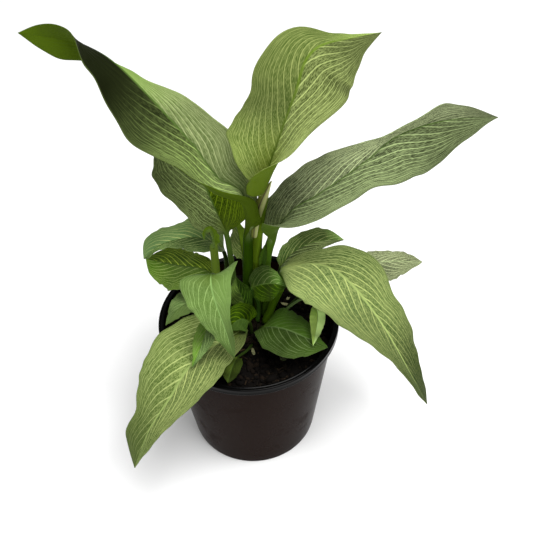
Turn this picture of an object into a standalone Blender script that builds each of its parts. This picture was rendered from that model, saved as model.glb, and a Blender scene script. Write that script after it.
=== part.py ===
"""Potted peace lily: a thin nursery pot, its soil, the root crown and every leaf on its own stalk.

Metres, +Z up. The origin is the middle of the pot's resting face.
Each leaf is one closed solid, because its blade and its stalk grew as one piece. It is drawn by a
few points along the stalk and the midrib, in millimetres from the middle of the rim's top plane,
so that the plant rises, sinks and spreads with its pot.
"""

import math

import bmesh
import bpy
import numpy as np

MM = 0.001

# Pot: a turned thin wall with a thick lip and a raised, drained channel in its base
RIM_RADIUS = 0.0525
BASE_RADIUS = 0.039
POT_HEIGHT = 0.094
WALL = 0.0011
LIP_WIDTH = 0.0020
LIP_DEPTH = 0.0046
LIP_ROUND = 0.0007
PAD_RADIUS = 0.016
FOOT_RING_WIDTH = 0.0045
FOOT_ROUND = 0.0008
CHANNEL_RISE = 0.0015
CHANNEL_SLOPE = 0.0015
DRAIN_HOLES = 6
DRAIN_HOLE_RADIUS = 0.0042
DRAIN_RING_RADIUS = 0.0255
DRAIN_HOLE_SIDES = 16
TURN_STEPS = 48

# Soil, and the root crown that the stalks grow from
GAP = 0.0003
FLOOR_GAP = 0.00042
SOIL_BELOW_RIM = 0.012
SOIL_SETTLE = 0.0015
SOIL_SETTLE_WIDTH = 0.007
CROWN_RADIUS = 0.0195
CROWN_RISE = 0.0028
CROWN_EDGE = 0.0016
CROWN_DEPTH = 0.016
CROWN_ROOT_RADIUS = 0.012

# Leaves
CHART_RIM_RADIUS = 0.0525
CHART_CROWN_RADIUS = 0.0195
CHART_BED_RADIUS = 0.048
LEAF_THICKNESS = 0.0007
RIB_DEPTH = 0.0005
LEAST_HALF_WIDTH = 0.35
THICKEST_SHARE = 1.2
STALK_RING_SPACING = 0.012
BLADE_RING_SPACING = 0.0065
ACROSS = (-1.0, -0.5, 0.0, 0.5, 1.0)
STALK_ANGLES = (162, 126, 90, 54, 18, -18, -54, -90, -126, -162)
BLEND_START = -0.03
BLEND_END = 0.10
BLEND_RING = 0.035
FIRST_BLADE_RING = 0.06
BASE_CROWDING = 1.1
TIP_CUT = 0.985
INWARD_SHARE = 0.08
TURN_REACH = 0.06
LOBE_REACH = 0.12
LOBE_CURVE = 1.5
WAVE_FADE_AT_BASE = 8
WAVE_FADE_AT_TIP = 4
SPAN_POINTS = 16

UP = (0, 0, 1)

# One entry per leaf. foot is where the stalk stands on the crown or the soil (x, y). stalk and rib
# are points up the stalk and along the midrib, the first rib point being the base of the blade.
# face gives the way the upper side looks at shares of the blade's length. left and right are pairs
# at even shares from base to tip: the half width, and the angle in degrees by which that half rises
# from the midrib. cup is the further bend of each half in degrees, lobe how far the base reaches
# back beside the stalk, and wave the height, the count and the phase of the waves on the edges.
LEAVES = [
    dict(
        name="leaf_tall_left", foot=(0, 9), stalk_radius=2.5,
        stalk=[(1.5, 9, 36)],
        rib=[(2.4, 7.2, 60), (2, 5, 80), (0, 2, 95), (-10, 1.5, 103), (-20, 6, 119), (-31, 14, 131),
             (-44, 24, 143), (-60, 36, 154), (-75, 44, 158), (-102, 50, 161)],
        face=[(0, (0.7, -0.7, 0.3)), (0.38, (0, -0.88, 0.5)), (0.6, (-0.1, -0.85, 0.5)),
              (0.75, (0.3, 0.2, 0.9)), (0.86, (0.25, 0.85, 0.1)), (1, (0.15, 0.9, -0.3))],
        left=[(3, 50), (8.5, 28), (13.4, 5), (16.5, 2), (18.2, 0), (17.5, 6), (16.9, 12), (19, 13),
              (21.7, 14), (20.4, 12), (19.1, 10), (16.5, 0), (14.9, -10), (13.2, -15), (10.1, -20),
              (5.8, -10), (0, 0)],
        right=[(3, 60), (4.4, 55), (6, 50), (9, 39), (12.9, 27), (15.8, 24), (19.7, 20), (17.5, 21),
              (14.8, 22), (8.4, 1), (4.4, -20), (5, -40), (6.8, -60), (9.1, -45), (10.2, -30), (6.4, -15),
              (0, 0)],
        cup=8, lobe=(0, 0), wave=(1, 2.5, 0.1),
    ),
    dict(
        name="leaf_tall_back", foot=(5, 13.5), stalk_radius=2.4,
        stalk=[(6.4, 12.6, 36), (8.6, 10.7, 63)],
        rib=[(11.8, 2.8, 91), (14.5, -4.8, 113.6), (18, -10, 130), (22, -13, 146), (27, -13, 162),
             (31, -9, 173), (37, -5, 177), (51, 3, 175), (67, 12, 172)],
        face=[(0, (-0.4, -1, 0.1)), (0.4, (-0.5, -0.8, 0.2)), (0.6, (0, -0.9, 0.35)),
              (0.8, (0.2, -0.6, 0.8)), (1, (0.2, -0.6, 0.8))],
        left=[(3, 65), (6.3, 48), (13, 30), (19.5, 20), (24.5, 16), (21.7, 14), (20.4, 14), (19.2, 14),
              (20, 10), (17.8, 5), (12.6, -2), (4.3, -12), (2.6, -15), (1, -12), (0, -10)],
        right=[(6, 65), (11, 52), (15.3, 39), (18.5, 28), (19.6, 23), (17.2, 18), (15.6, 15),
              (14.9, 14), (16.3, 12), (20.2, 11), (22.2, 10), (23.1, 10), (21.9, 10), (16.2, 10),
              (9.6, 9), (4.5, 7), (0, 5)],
        cup=8, lobe=(0, 0), wave=(1, 2.5, 0.4),
    ),
    dict(
        name="leaf_tall_right", foot=(11, 10), stalk_radius=2.4,
        stalk=[(11.7, 12.8, 31)],
        rib=[(15.7, 8.2, 55), (20.4, 1.9, 71), (27, -3, 85), (35, -6, 93), (49, -8, 106), (63, -8, 119),
             (72, -6, 127), (92, -1, 131), (116, 5, 128), (126, 7, 126)],
        face=[(0, (-0.86, -0.3, 0.4)), (0.38, (-0.63, -0.45, 0.63)), (0.55, (-0.2, -0.9, 0.4)),
              (0.69, (0.1, -0.9, 0.42)), (0.82, (0.2, -0.6, 0.8)), (1, (0.2, -0.15, 0.96))],
        left=[(3.2, 50), (8.4, 41), (13.6, 32), (13.7, 27), (14.6, 22), (15.1, 18), (15.9, 15), (14.6, 20),
              (12.8, 25), (10, 36), (5.7, 46), (6.5, 48), (9.3, 50), (8.6, 39), (6.4, 28), (4.1, 19),
              (0, 10)],
        right=[(2.2, 50), (9.3, 32), (14.4, 15), (17.3, 16), (17.1, 16), (15.8, 16), (14.2, 15),
              (13.7, 14), (12.9, 12), (17.5, 10), (20.9, 9), (21.7, 8), (19.6, 8), (14.4, 8), (10.8, 8),
              (5.4, 6), (0, 5)],
        cup=4, lobe=(0, 0), wave=(1, 2.5, 0.6),
    ),
    dict(
        name="leaf_behind_left", foot=(-6.5, 12.5), stalk_radius=1.7,
        stalk=[(-7.5, 16, 22), (-8.5, 15, 44)],
        rib=[(-9.6, 15, 55), (-14, 17, 69), (-19, 24, 82), (-25, 38, 94), (-33, 48, 98), (-42, 60, 98)],
        face=[(0, (0.2, -0.9, 0.5)), (1, (0, -0.5, 0.85))],
        left=[(8, 50), (10.6, 39), (13.2, 28), (15.7, 19), (16.9, 17), (19.1, 15), (21.3, 14), (24.1, 13),
              (25.3, 12), (26.1, 11), (22.4, 10), (20.9, 10), (18.5, 9), (15.5, 8), (11, 7), (5.6, 6),
              (0, 5)],
        right=[(7, 50), (15, 25), (23, 14), (23, 12), (19, 10), (10, 8), (0, 5)],
        cup=6, lobe=(0, 0), wave=(1, 2, 0.2),
    ),
    dict(
        name="leaf_back_small", foot=(-1, 15.5), stalk_radius=1.1,
        stalk=[(-0.5, 20, 12)],
        rib=[(-1, 22, 26), (-2, 23, 36), (-3, 24, 47), (-5, 24, 56)],
        face=[(0, (0, -1, 0.3)), (1, (0, -1, 0.4))],
        left=[(2, 45), (5, 20), (6.5, 14), (6, 12), (4, 10), (2, 8), (0, 5)],
        right=[(2, 45), (5, 20), (6.5, 14), (6, 12), (4, 10), (2, 8), (0, 5)],
        cup=6, lobe=(0, 0), wave=(0.3, 2, 0),
    ),
    dict(
        name="leaf_left_level", foot=(-8.5, 6.5), stalk_radius=1.4,
        stalk=[(-11, 14, 8), (-11, 20, 24)],
        rib=[(-12, 20, 36), (-19, 20, 44), (-27, 20, 47), (-38, 20, 46), (-48, 20, 42), (-57, 18, 35)],
        face=[(0, (0, 0.1, 1)), (1, (0, -0.2, 1))],
        left=[(5, 15), (6.9, 13), (8.7, 11), (10.3, 9), (11.5, 7), (12.3, 5), (11.8, 4), (10.5, 4),
              (8.9, 4), (7.1, 4), (5.3, 4), (3.9, 4), (3, 4), (2.2, 4), (1.5, 4), (2.5, 5), (0, 5)],
        right=[(7, 40), (8.1, 32), (9.2, 24), (10.2, 17), (11, 14), (11.7, 11), (12.1, 10), (12.2, 9),
              (11.5, 8), (10.1, 8), (10.3, 8), (10.4, 8), (10.5, 6), (9.8, 5), (8.4, 5), (6.1, 5),
              (0, 5)],
        cup=4, lobe=(0, 0), wave=(0.5, 2, 0.3),
    ),
    dict(
        name="leaf_left_lower", foot=(-15.5, 7), stalk_radius=1.2,
        stalk=[(-16.5, 9.5, 8)],
        rib=[(-18, 12, 24), (-26, 14, 29), (-35, 18, 27), (-45, 24, 24), (-58, 30, 23)],
        face=[(0, UP), (1, (0, -0.3, 1))],
        left=[(9, 12), (12, 11), (14.9, 10), (16.9, 9), (18, 7), (18.5, 5), (18.1, 4), (18.8, 3),
              (16.6, 2), (15.7, 2), (14.4, 2), (13.3, 2), (12.2, 2), (10.7, 2), (8.1, 2), (4.5, 2),
              (0, 2)],
        right=[(4, 30), (5.1, 24), (6.2, 18), (7.4, 13), (8.5, 11), (9.6, 9), (10.5, 7), (11.2, 6),
              (11.8, 5), (12, 5), (11.9, 4), (11.7, 4), (11, 3), (9.8, 3), (7.3, 3), (3.7, 2), (0, 2)],
        cup=-4, lobe=(3, 3), wave=(0.5, 2, 0.8),
    ),
    dict(
        name="sprout_curled", foot=(-12, 2.5), stalk_radius=2.0,
        stalk=[(-16.3, 3.1, 28), (-16.3, 4.4, 46)],
        rib=[(-16.3, 4.4, 55), (-15.8, 4.2, 62.4), (-17.3, 4.2, 67.5), (-20.3, 3.5, 66.3), (-20.8, 2.6, 61.4)],
        face=[(0, (0.6, -0.5, 0.4)), (1, (0.4, -0.5, 0.4))],
        left=[(3.2, 45), (3.2, 40), (2.8, 28), (1.9, 12), (1.5, 6), (1.1, 5), (0, 5)],
        right=[(3.2, 45), (3.2, 40), (2.8, 28), (1.9, 12), (1.5, 6), (1.1, 5), (0, 5)],
        cup=12, lobe=(0, 0), wave=(0, 1, 0),
    ),
    dict(
        name="leaf_front_hanging", foot=(-8.5, -2.5), stalk_radius=1.3,
        stalk=[(-11, -5, 20), (-15, -12, 46)],
        rib=[(-18, -20, 57), (-18, -26, 55), (-16, -31, 46), (-13, -35, 34), (-9, -40, 13)],
        face=[(0, (0, -0.5, 1)), (0.3, (0, -1, 0.4)), (1, (0, -1, 0.3))],
        left=[(20, 8), (11.5, 12), (8, 10), (4.5, 8), (3.5, 6), (2.5, 5), (0, 5)],
        right=[(17, 12), (15.5, 10), (12.5, 6), (10, 4), (7, 4), (3.5, 4), (0, 4)],
        cup=-4, lobe=(20, 4), wave=(0.5, 2, 0.2),
    ),
    dict(
        name="leaf_front_left", foot=(-4, -8), stalk_radius=1.8,
        stalk=[(-3, -10, -3)],
        rib=[(-3, -13, 4), (-12, -20, 6), (-25, -30, 8), (-36, -42, 6), (-44, -52, -1),
             (-56, -63, -12), (-67, -75, -32)],
        face=[(0, UP), (0.5, (-0.3, -0.2, 1)), (1, (-0.6, -0.5, 0.6))],
        left=[(8, 30), (10.2, 23), (12.5, 16), (14.8, 11), (17, 9), (18.9, 7), (19.3, 6), (18.8, 6),
              (17.6, 6), (14.3, 7), (12.2, 8), (9.9, 8), (8.5, 8), (6.6, 8), (4.5, 7), (2.2, 6), (0, 5)],
        right=[(13, 35), (17.1, 27), (21.1, 19), (24, 13), (25.5, 9), (28.7, 5), (27.4, 4), (27.2, 3),
              (27.8, 2), (26, 3), (22.4, 4), (17.2, 5), (13.5, 6), (13.2, 8), (12.6, 7), (7.3, 6),
              (0, 5)],
        cup=-4, lobe=(0, 0), wave=(0.7, 2, 0.5),
    ),
    dict(
        name="leaf_left_small", foot=(-15.5, -3), stalk_radius=1.1,
        stalk=[(-19, 1, 0)],
        rib=[(-23, 5, 7), (-30, 4, 12), (-36, 0, 14), (-41, -5, 14), (-47, -10, 9)],
        face=[(0, UP), (1, UP)],
        left=[(2, 35), (7, 14), (9, 8), (8, 6), (6, 5), (3, 4), (0, 4)],
        right=[(2, 35), (7, 14), (9, 8), (8, 6), (6, 5), (3, 4), (0, 4)],
        cup=-4, lobe=(0, 0), wave=(0.3, 2, 0),
    ),
    dict(
        name="leaf_front_folded", foot=(-12, -1), stalk_radius=1.1,
        stalk=[(-13, -3, 13)],
        rib=[(-20, -20, 23), (-22, -25, 25), (-24.5, -31, 22), (-28, -37, 16), (-32, -42, 10)],
        face=[(0, UP), (1, (-0.4, -0.5, 0.7))],
        left=[(3, 45), (7, 25), (8, 20), (7, 20), (5, 20), (2.5, 20), (0, 20)],
        right=[(2, 50), (4, 30), (5, 25), (5, 25), (4, 25), (2, 25), (0, 20)],
        cup=0, lobe=(0, 0), wave=(0.3, 2, 0),
    ),
    dict(
        name="leaf_right_front", foot=(10, 3.5), stalk_radius=2.3,
        stalk=[(15, 5, 6), (21, 8, 19)],
        rib=[(21, 6, 31), (32, 3, 38), (41, 0, 40), (51, -7, 39), (63, -20, 31), (74, -36, 20),
             (86, -50, 0), (95, -57, -17)],
        face=[(0, (-0.1, -0.3, 1)), (0.5, (0.1, -0.2, 1)), (1, (0.6, -0.3, 0.7))],
        left=[(2, 35), (4.2, 27), (6.7, 19), (9.8, 13), (16.5, 11), (19.3, 9), (20.6, 8), (17.5, 7),
              (14.6, 6), (16.4, 6), (15.8, 6), (14.2, 6), (11.7, 7), (9, 8), (7.2, 8), (4.9, 8), (0, 8)],
        right=[(12, 25), (17.2, 18), (22.1, 10), (25.1, 4), (25.5, 2), (24.9, 1), (23.4, 0), (21.2, 0),
              (18.3, 0), (15.9, 2), (12.5, 4), (9.6, 5), (7.1, 7), (4.9, 8), (3.3, 8), (2.3, 8), (0, 8)],
        cup=-5, lobe=(4, 4), wave=(0.8, 2.5, 0.3),
    ),
    dict(
        name="leaf_right_dark", foot=(17, 17), stalk_radius=1.2,
        stalk=[(18, 17, 8)],
        rib=[(20.5, 17.5, 22), (26.5, 17, 32), (34, 17.5, 38), (44, 19, 39.5), (57, 21, 37)],
        face=[(0, (-0.3, -0.3, 1)), (1, (0, -0.5, 1))],
        left=[(3, 40), (6.5, 20), (8, 12), (8, 8), (8, 6), (6, 5), (0, 5)],
        right=[(3, 40), (6, 20), (7.5, 12), (7, 8), (5, 6), (2.5, 5), (0, 5)],
        cup=-4, lobe=(2, 2), wave=(0.3, 2, 0.2),
    ),
    dict(
        name="leaf_far_right", foot=(14.5, -1.5), stalk_radius=1.2,
        stalk=[(24, 5, 1), (42, 13, 11)],
        rib=[(56, 16, 16), (66, 17, 19), (78, 18, 20), (88, 19, 19), (95, 19, 18), (104, 20, 16)],
        face=[(0, UP), (1, UP)],
        left=[(3, 35), (3.4, 27), (3.8, 19), (4.3, 13), (5, 11), (5.8, 9), (9.5, 7), (8.4, 6), (8.7, 5),
              (8.7, 5), (8.5, 4), (8.8, 4), (7.9, 3), (7.5, 3), (5.9, 3), (3.4, 3), (0, 3)],
        right=[(3, 35), (5.6, 27), (8.2, 19), (10.5, 13), (12.5, 11), (14.1, 9), (14.9, 7), (15, 6),
              (15.6, 5), (14.5, 5), (13.3, 4), (11.8, 4), (9.2, 3), (6.7, 3), (4.4, 3), (2.6, 3), (0, 3)],
        cup=-4, lobe=(0, 0), wave=(0.4, 2, 0.6),
    ),
    dict(
        name="leaf_in_pot_right", foot=(6, -3.5), stalk_radius=1.2,
        stalk=[(6.5, -5, -5)],
        rib=[(8, -8, -1), (14, -14, 6), (21, -19, 9), (31, -24, 7), (43, -28, 2)],
        face=[(0, UP), (1, UP)],
        left=[(13, 20), (15, 10), (14, 5), (12, 3), (10, 2), (5.5, 2), (0, 2)],
        right=[(4, 25), (11, 10), (17, 5), (19, 3), (16, 2), (9, 2), (0, 2)],
        cup=-4, lobe=(3, 3), wave=(0.4, 2, 0.2),
    ),
    dict(
        name="leaf_narrow_right", foot=(12.5, -7), stalk_radius=0.8,
        stalk=[(21, 0, 3), (34, -3, 17)],
        rib=[(37, -11, 19), (38, -18, 18), (36, -26, 13), (34, -32, 9)],
        face=[(0, UP), (1, (0.2, -1, 0.4))],
        left=[(1.5, 35), (3.5, 20), (4.5, 15), (4, 15), (3, 15), (1.5, 15), (0, 10)],
        right=[(1.5, 35), (3.5, 20), (4.5, 15), (4, 15), (3, 15), (1.5, 15), (0, 10)],
        cup=0, lobe=(0, 0), wave=(0, 2, 0),
    ),
    dict(
        name="leaf_centre_right", foot=(5, 4.5), stalk_radius=1.2,
        stalk=[(6, 3.5, 8)],
        rib=[(3.2, 0, 24.6), (9, -1.2, 28.2), (16, -0.9, 27.6), (22, -0.5, 23.9)],
        face=[(0, (0, -0.6, 1)), (1, (0, -0.6, 1))],
        left=[(3, 25), (8, 10), (10.5, 6), (10, 5), (7, 5), (3.5, 4), (0, 4)],
        right=[(3, 25), (8.5, 10), (10, 6), (10, 6), (8, 5), (4, 4), (0, 4)],
        cup=-4, lobe=(2, 2), wave=(0.2, 2, 0.2),
    ),
    dict(
        name="leaf_centre_front", foot=(-3, 1.5), stalk_radius=1.1,
        stalk=[(-3, 0, 5)],
        rib=[(-1.5, -2, 10), (-3, -2.5, 20), (-5, -3, 29), (-5.5, -2.5, 37)],
        face=[(0, (0.2, -0.8, 0.6)), (1, (0, -0.8, 0.5))],
        left=[(1.5, 35), (5, 14), (6.5, 8), (6.5, 6), (5, 5), (2.5, 4), (0, 4)],
        right=[(2, 35), (5, 14), (6, 8), (6, 6), (5, 5), (2.5, 4), (0, 4)],
        cup=-4, lobe=(0, 0), wave=(0.2, 2, 0.2),
    ),
    dict(
        name="leaf_centre_curled", foot=(1, -5), stalk_radius=1.1,
        stalk=[(1, -7, -4)],
        rib=[(0, -10, 7.6), (-4, -12.9, 13.5), (-8, -15.8, 14.2), (-12, -19.2, 11)],
        face=[(0, (0, -0.6, 0.6)), (1, (0, -0.6, 0.8))],
        left=[(3, 35), (6.5, 14), (8, 8), (8, 6), (6.5, 5), (3.5, 4), (0, 4)],
        right=[(3, 35), (8, 14), (9, 8), (9, 6), (7, 5), (4, 4), (0, 4)],
        cup=10, lobe=(0, 0), wave=(0.2, 2, 0.2),
    ),
    dict(
        name="leaf_tiny_round", foot=(1, -12.5), stalk_radius=0.8,
        stalk=[(-2, -20, -6)],
        rib=[(-8, -27, -3), (-10, -33, -1), (-12, -39, -1), (-13.5, -45, -2)],
        face=[(0, UP), (1, UP)],
        left=[(2, 25), (4.5, 12), (5, 8), (5, 6), (4.5, 5), (3, 4), (0, 4)],
        right=[(2, 25), (4.5, 12), (5, 8), (5, 6), (4.5, 5), (3, 4), (0, 4)],
        cup=0, lobe=(0, 0), wave=(0, 2, 0),
    ),
    dict(
        name="new_shoot", foot=(6, 8), stalk_radius=1.1,
        stalk=[(8, 9.5, 12)],
        rib=[(9, 9.5, 28), (9.5, 9.5, 34), (10, 9.5, 40), (10.5, 9.5, 44)],
        face=[(0, (0, -1, 0.2)), (1, (0, -1, 0.2))],
        left=[(1, 50), (1.5, 40), (1.6, 30), (1.5, 15), (1.2, 8), (0.8, 5), (0, 5)],
        right=[(1, 50), (1.5, 40), (1.6, 30), (1.5, 15), (1.2, 8), (0.8, 5), (0, 5)],
        cup=12, lobe=(0, 0), wave=(0, 1, 0),
    ),
]

LEAF_GREENS = {
    "leaf_tall_left": (0.14, 0.18, 0.06),
    "leaf_tall_back": (0.22, 0.27, 0.08),
    "leaf_tall_right": (0.19, 0.25, 0.10),
    "leaf_behind_left": (0.08, 0.12, 0.03),
    "leaf_back_small": (0.07, 0.11, 0.02),
    "leaf_left_level": (0.13, 0.19, 0.08),
    "leaf_left_lower": (0.08, 0.14, 0.02),
    "sprout_curled": (0.08, 0.12, 0.02),
    "leaf_front_hanging": (0.19, 0.30, 0.08),
    "leaf_front_left": (0.22, 0.29, 0.09),
    "leaf_left_small": (0.11, 0.17, 0.05),
    "leaf_front_folded": (0.11, 0.19, 0.04),
    "leaf_right_front": (0.25, 0.32, 0.11),
    "leaf_right_dark": (0.11, 0.15, 0.06),
    "leaf_far_right": (0.35, 0.43, 0.21),
    "leaf_in_pot_right": (0.05, 0.08, 0.02),
    "leaf_narrow_right": (0.17, 0.26, 0.07),
    "leaf_centre_right": (0.04, 0.08, 0.01),
    "leaf_centre_front": (0.03, 0.06, 0.01),
    "leaf_centre_curled": (0.04, 0.07, 0.01),
    "leaf_tiny_round": (0.03, 0.05, 0.01),
}
PLAIN_GREEN = (0.10, 0.17, 0.05)


def clear_scene():
    """Remove whatever the file holds."""
    for thing in list(bpy.data.objects):
        bpy.data.objects.remove(thing, do_unlink=True)


def new_collection(name):
    """Make a collection under the scene's own."""
    group = bpy.data.collections.new(name)
    bpy.context.scene.collection.children.link(group)
    return group


def make_material(name, colour, roughness):
    """Make a Principled material with one colour."""
    material = bpy.data.materials.new(name)
    material.use_nodes = True
    shader = material.node_tree.nodes["Principled BSDF"]
    shader.inputs["Base Color"].default_value = (*colour, 1)
    shader.inputs["Roughness"].default_value = roughness
    shader.inputs["Metallic"].default_value = 0
    return material


def add_object(group, name, mesh, material):
    """Put a mesh in the scene under a name."""
    thing = bpy.data.objects.new(name, mesh)
    mesh.materials.append(material)
    group.objects.link(thing)
    return thing


def turned(group, name, profile, steps, material):
    """Turn a closed (radius, height) profile about the Z axis."""
    shape = bmesh.new()
    corners = [shape.verts.new((radius, 0, height)) for radius, height in profile]
    for start, end in zip(corners, corners[1:]):
        shape.edges.new((start, end))
    mesh = bpy.data.meshes.new(name)
    shape.to_mesh(mesh)
    shape.free()
    thing = add_object(group, name, mesh, material)
    screw = thing.modifiers.new("Turn", "SCREW")
    screw.axis = "Z"
    screw.steps = steps
    screw.render_steps = steps
    screw.use_merge_vertices = True
    screw.merge_threshold = 0.00001
    screw.use_smooth_shade = True
    return thing


def wall_radius(height):
    """Outer radius of the tapered wall at a height."""
    top = RIM_RADIUS - LIP_WIDTH
    return BASE_RADIUS + (top - BASE_RADIUS) * height / POT_HEIGHT


def base_steps(height):
    """Points across the base, from its middle out to its foot ring, lifted to a height."""
    ring_inside = BASE_RADIUS - FOOT_RING_WIDTH
    return [
        (0, height),
        (PAD_RADIUS, height),
        (PAD_RADIUS + CHANNEL_SLOPE, height + CHANNEL_RISE),
        (ring_inside - CHANNEL_SLOPE, height + CHANNEL_RISE),
        (ring_inside, height),
    ]


def lip_profile():
    """The lip from its inner edge, over its flat top and down its outer side."""
    inside = wall_radius(POT_HEIGHT) - WALL
    low = POT_HEIGHT - LIP_DEPTH
    return [
        (inside, POT_HEIGHT - LIP_ROUND),
        (inside + LIP_ROUND, POT_HEIGHT),
        (RIM_RADIUS - LIP_ROUND, POT_HEIGHT),
        (RIM_RADIUS, POT_HEIGHT - LIP_ROUND),
        (RIM_RADIUS, low + LIP_ROUND),
        (RIM_RADIUS - LIP_ROUND, low),
        (wall_radius(low), low),
    ]


def pot_profile():
    """The pot's section: floor, inner wall, lip, outer wall and underside."""
    floor = base_steps(WALL) + [(wall_radius(WALL) - WALL, WALL)]
    foot = [(wall_radius(FOOT_ROUND), FOOT_ROUND), (BASE_RADIUS - FOOT_ROUND, 0)]
    return floor + lip_profile() + foot + base_steps(0)[::-1]


def make_pot(group, cutters):
    """The pot, with drain holes through the raised channel of its base."""
    black = make_material("black_plastic", (0.012, 0.009, 0.009), 0.3)
    pot = turned(group, "pot", pot_profile(), TURN_STEPS, black)
    for number in range(DRAIN_HOLES):
        angle = math.tau * number / DRAIN_HOLES
        bpy.ops.mesh.primitive_cylinder_add(
            vertices=DRAIN_HOLE_SIDES,
            radius=DRAIN_HOLE_RADIUS,
            depth=4 * (WALL + CHANNEL_RISE),
            location=(DRAIN_RING_RADIUS * math.cos(angle), DRAIN_RING_RADIUS * math.sin(angle), 0),
        )
        cutter = bpy.context.object
        cutter.name = f"drain_cutter_{number + 1}"
        move_to_collection(cutter, cutters)
        cutter.hide_render = True
        cutter.display_type = "WIRE"
        cut = pot.modifiers.new(f"Drain {number + 1}", "BOOLEAN")
        cut.object = cutter
        cut.operation = "DIFFERENCE"
        cut.solver = "EXACT"
    return pot


def move_to_collection(thing, group):
    """Take an object out of its collections and put it in one."""
    for holder in list(thing.users_collection):
        holder.objects.unlink(thing)
    group.objects.link(thing)


def soil_top():
    """Height of the soil's surface around the crown."""
    return POT_HEIGHT - SOIL_BELOW_RIM


def make_soil(group):
    """The soil: it fills the pot to below the lip, with a pocket for the root crown."""
    top = soil_top()
    bottom = WALL + FLOOR_GAP
    edge_height = top - SOIL_SETTLE
    profile = [
        (0, top - CROWN_DEPTH - GAP),
        (CROWN_ROOT_RADIUS + GAP, top - CROWN_DEPTH - GAP),
        (CROWN_RADIUS + GAP, top),
        (wall_radius(top) - WALL - GAP - SOIL_SETTLE_WIDTH, top),
        (wall_radius(edge_height) - WALL - GAP, edge_height),
        (wall_radius(bottom) - WALL - GAP, bottom),
    ]
    brown = make_material("potting_soil", (0.02, 0.013, 0.009), 0.95)
    return turned(group, "soil", profile + base_steps(bottom)[::-1], TURN_STEPS, brown)


def make_crown(group):
    """The root crown: a low round top over a tapered plug of roots in the soil."""
    top = soil_top()
    high = top + CROWN_RISE
    profile = [
        (0, high),
        (CROWN_RADIUS - CROWN_EDGE, high),
        (CROWN_RADIUS, high - CROWN_EDGE),
        (CROWN_RADIUS, top),
        (CROWN_ROOT_RADIUS, top - CROWN_DEPTH),
        (0, top - CROWN_DEPTH),
    ]
    tan = make_material("crown_tissue", (0.20, 0.17, 0.08), 0.8)
    return turned(group, "root_crown", profile, TURN_STEPS, tan)


def foot_point(x, y):
    """Where a stalk stands, from its charted place: on the crown's top, or on the soil beyond it."""
    charted = math.hypot(x, y) * MM
    beyond = charted - CHART_CROWN_RADIUS
    if beyond < 0:
        share = CROWN_RADIUS / CHART_CROWN_RADIUS
        height = soil_top() + CROWN_RISE + GAP
    else:
        bed_radius = wall_radius(soil_top()) - WALL
        stretch = (bed_radius - CROWN_RADIUS) / (CHART_BED_RADIUS - CHART_CROWN_RADIUS)
        share = (CROWN_RADIUS + beyond * stretch) / charted
        height = soil_top() + GAP
    return np.array([x * MM * share, y * MM * share, height])


def plant_point(point):
    """A charted point in metres, spread with the rim and lifted to its height."""
    spread = MM * RIM_RADIUS / CHART_RIM_RADIUS
    return np.array([point[0] * spread, point[1] * spread, point[2] * MM + POT_HEIGHT])


def unit(vector):
    """The vector at length one."""
    return vector / np.linalg.norm(vector)


def spline(points):
    """A smooth centripetal Catmull-Rom curve through the points."""
    points = np.array(points, float)
    first = 2 * points[0] - points[1]
    last = 2 * points[-1] - points[-2]
    chain = np.vstack([first, points, last])
    curve = []
    for a, b, c, d in zip(chain, chain[1:], chain[2:], chain[3:]):
        knots = np.cumsum([0] + [math.sqrt(np.linalg.norm(q - p)) for p, q in ((a, b), (b, c), (c, d))])
        for t in np.linspace(knots[1], knots[2], SPAN_POINTS, endpoint=False):
            curve.append(spline_point((a, b, c, d), knots, t))
    curve.append(points[-1])
    return np.array(curve)


def spline_point(corners, knots, t):
    """One point of a Catmull-Rom span, by its pyramid of blends."""
    level = [(p, k, k) for p, k in zip(corners, knots)]
    while len(level) > 1:
        level = [
            (((e - t) * p + (t - s) * q) / (e - s), s, e)
            for (p, s, _), (q, _, e) in zip(level, level[1:])
        ]
    return level[0][0]


def along(curve):
    """Running length at each point of a curve."""
    steps = np.linalg.norm(np.diff(curve, axis=0), axis=1)
    return np.concatenate([[0], np.cumsum(steps)])


def sample(curve, lengths, places):
    """Points of a curve at running lengths."""
    return np.stack([np.interp(places, lengths, curve[:, k]) for k in range(3)], axis=1)


def smoothstep(low, high, value):
    """Ease from 0 at low to 1 at high."""
    share = min(max((value - low) / (high - low), 0), 1)
    return share * share * (3 - 2 * share)


def half_list(leaf, hand, column):
    """Half widths (0) or rises (1) along the blade, on the left (-1) or the right (1)."""
    return np.array([pair[column] for pair in leaf["left" if hand < 0 else "right"]], float)


def half_widths(leaf, hand, shares):
    """Half width at a share of the blade's length."""
    return np.maximum(spline_values(half_list(leaf, hand, 0), shares), LEAST_HALF_WIDTH) * MM


def half_rise(leaf, hand, share):
    """Angle by which a half of the blade rises from its midrib at a share of the length."""
    return math.radians(float(spline_values(half_list(leaf, hand, 1), share)))


def spline_values(values, shares):
    """Read a list of evenly spaced values as a smooth curve."""
    spans = len(values) - 1
    chain = np.concatenate([[2 * values[0] - values[1]], values, [2 * values[-1] - values[-2]]])
    places = np.clip(np.asarray(shares, float), 0, 1) * spans
    first = np.minimum(places.astype(int), spans - 1)
    t = places - first
    a, b, c, d = (chain[first + k] for k in range(4))
    curve = 2 * b + (c - a) * t + (2 * a - 5 * b + 4 * c - d) * t**2 + (3 * b - a - 3 * c + d) * t**3
    return curve / 2


def facing(leaf, t):
    """The way the upper side looks at a share of the blade's length."""
    shares = [share for share, _ in leaf["face"]]
    ways = np.array([way for _, way in leaf["face"]], float)
    return np.array([np.interp(t, shares, ways[:, k]) for k in range(3)])


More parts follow.
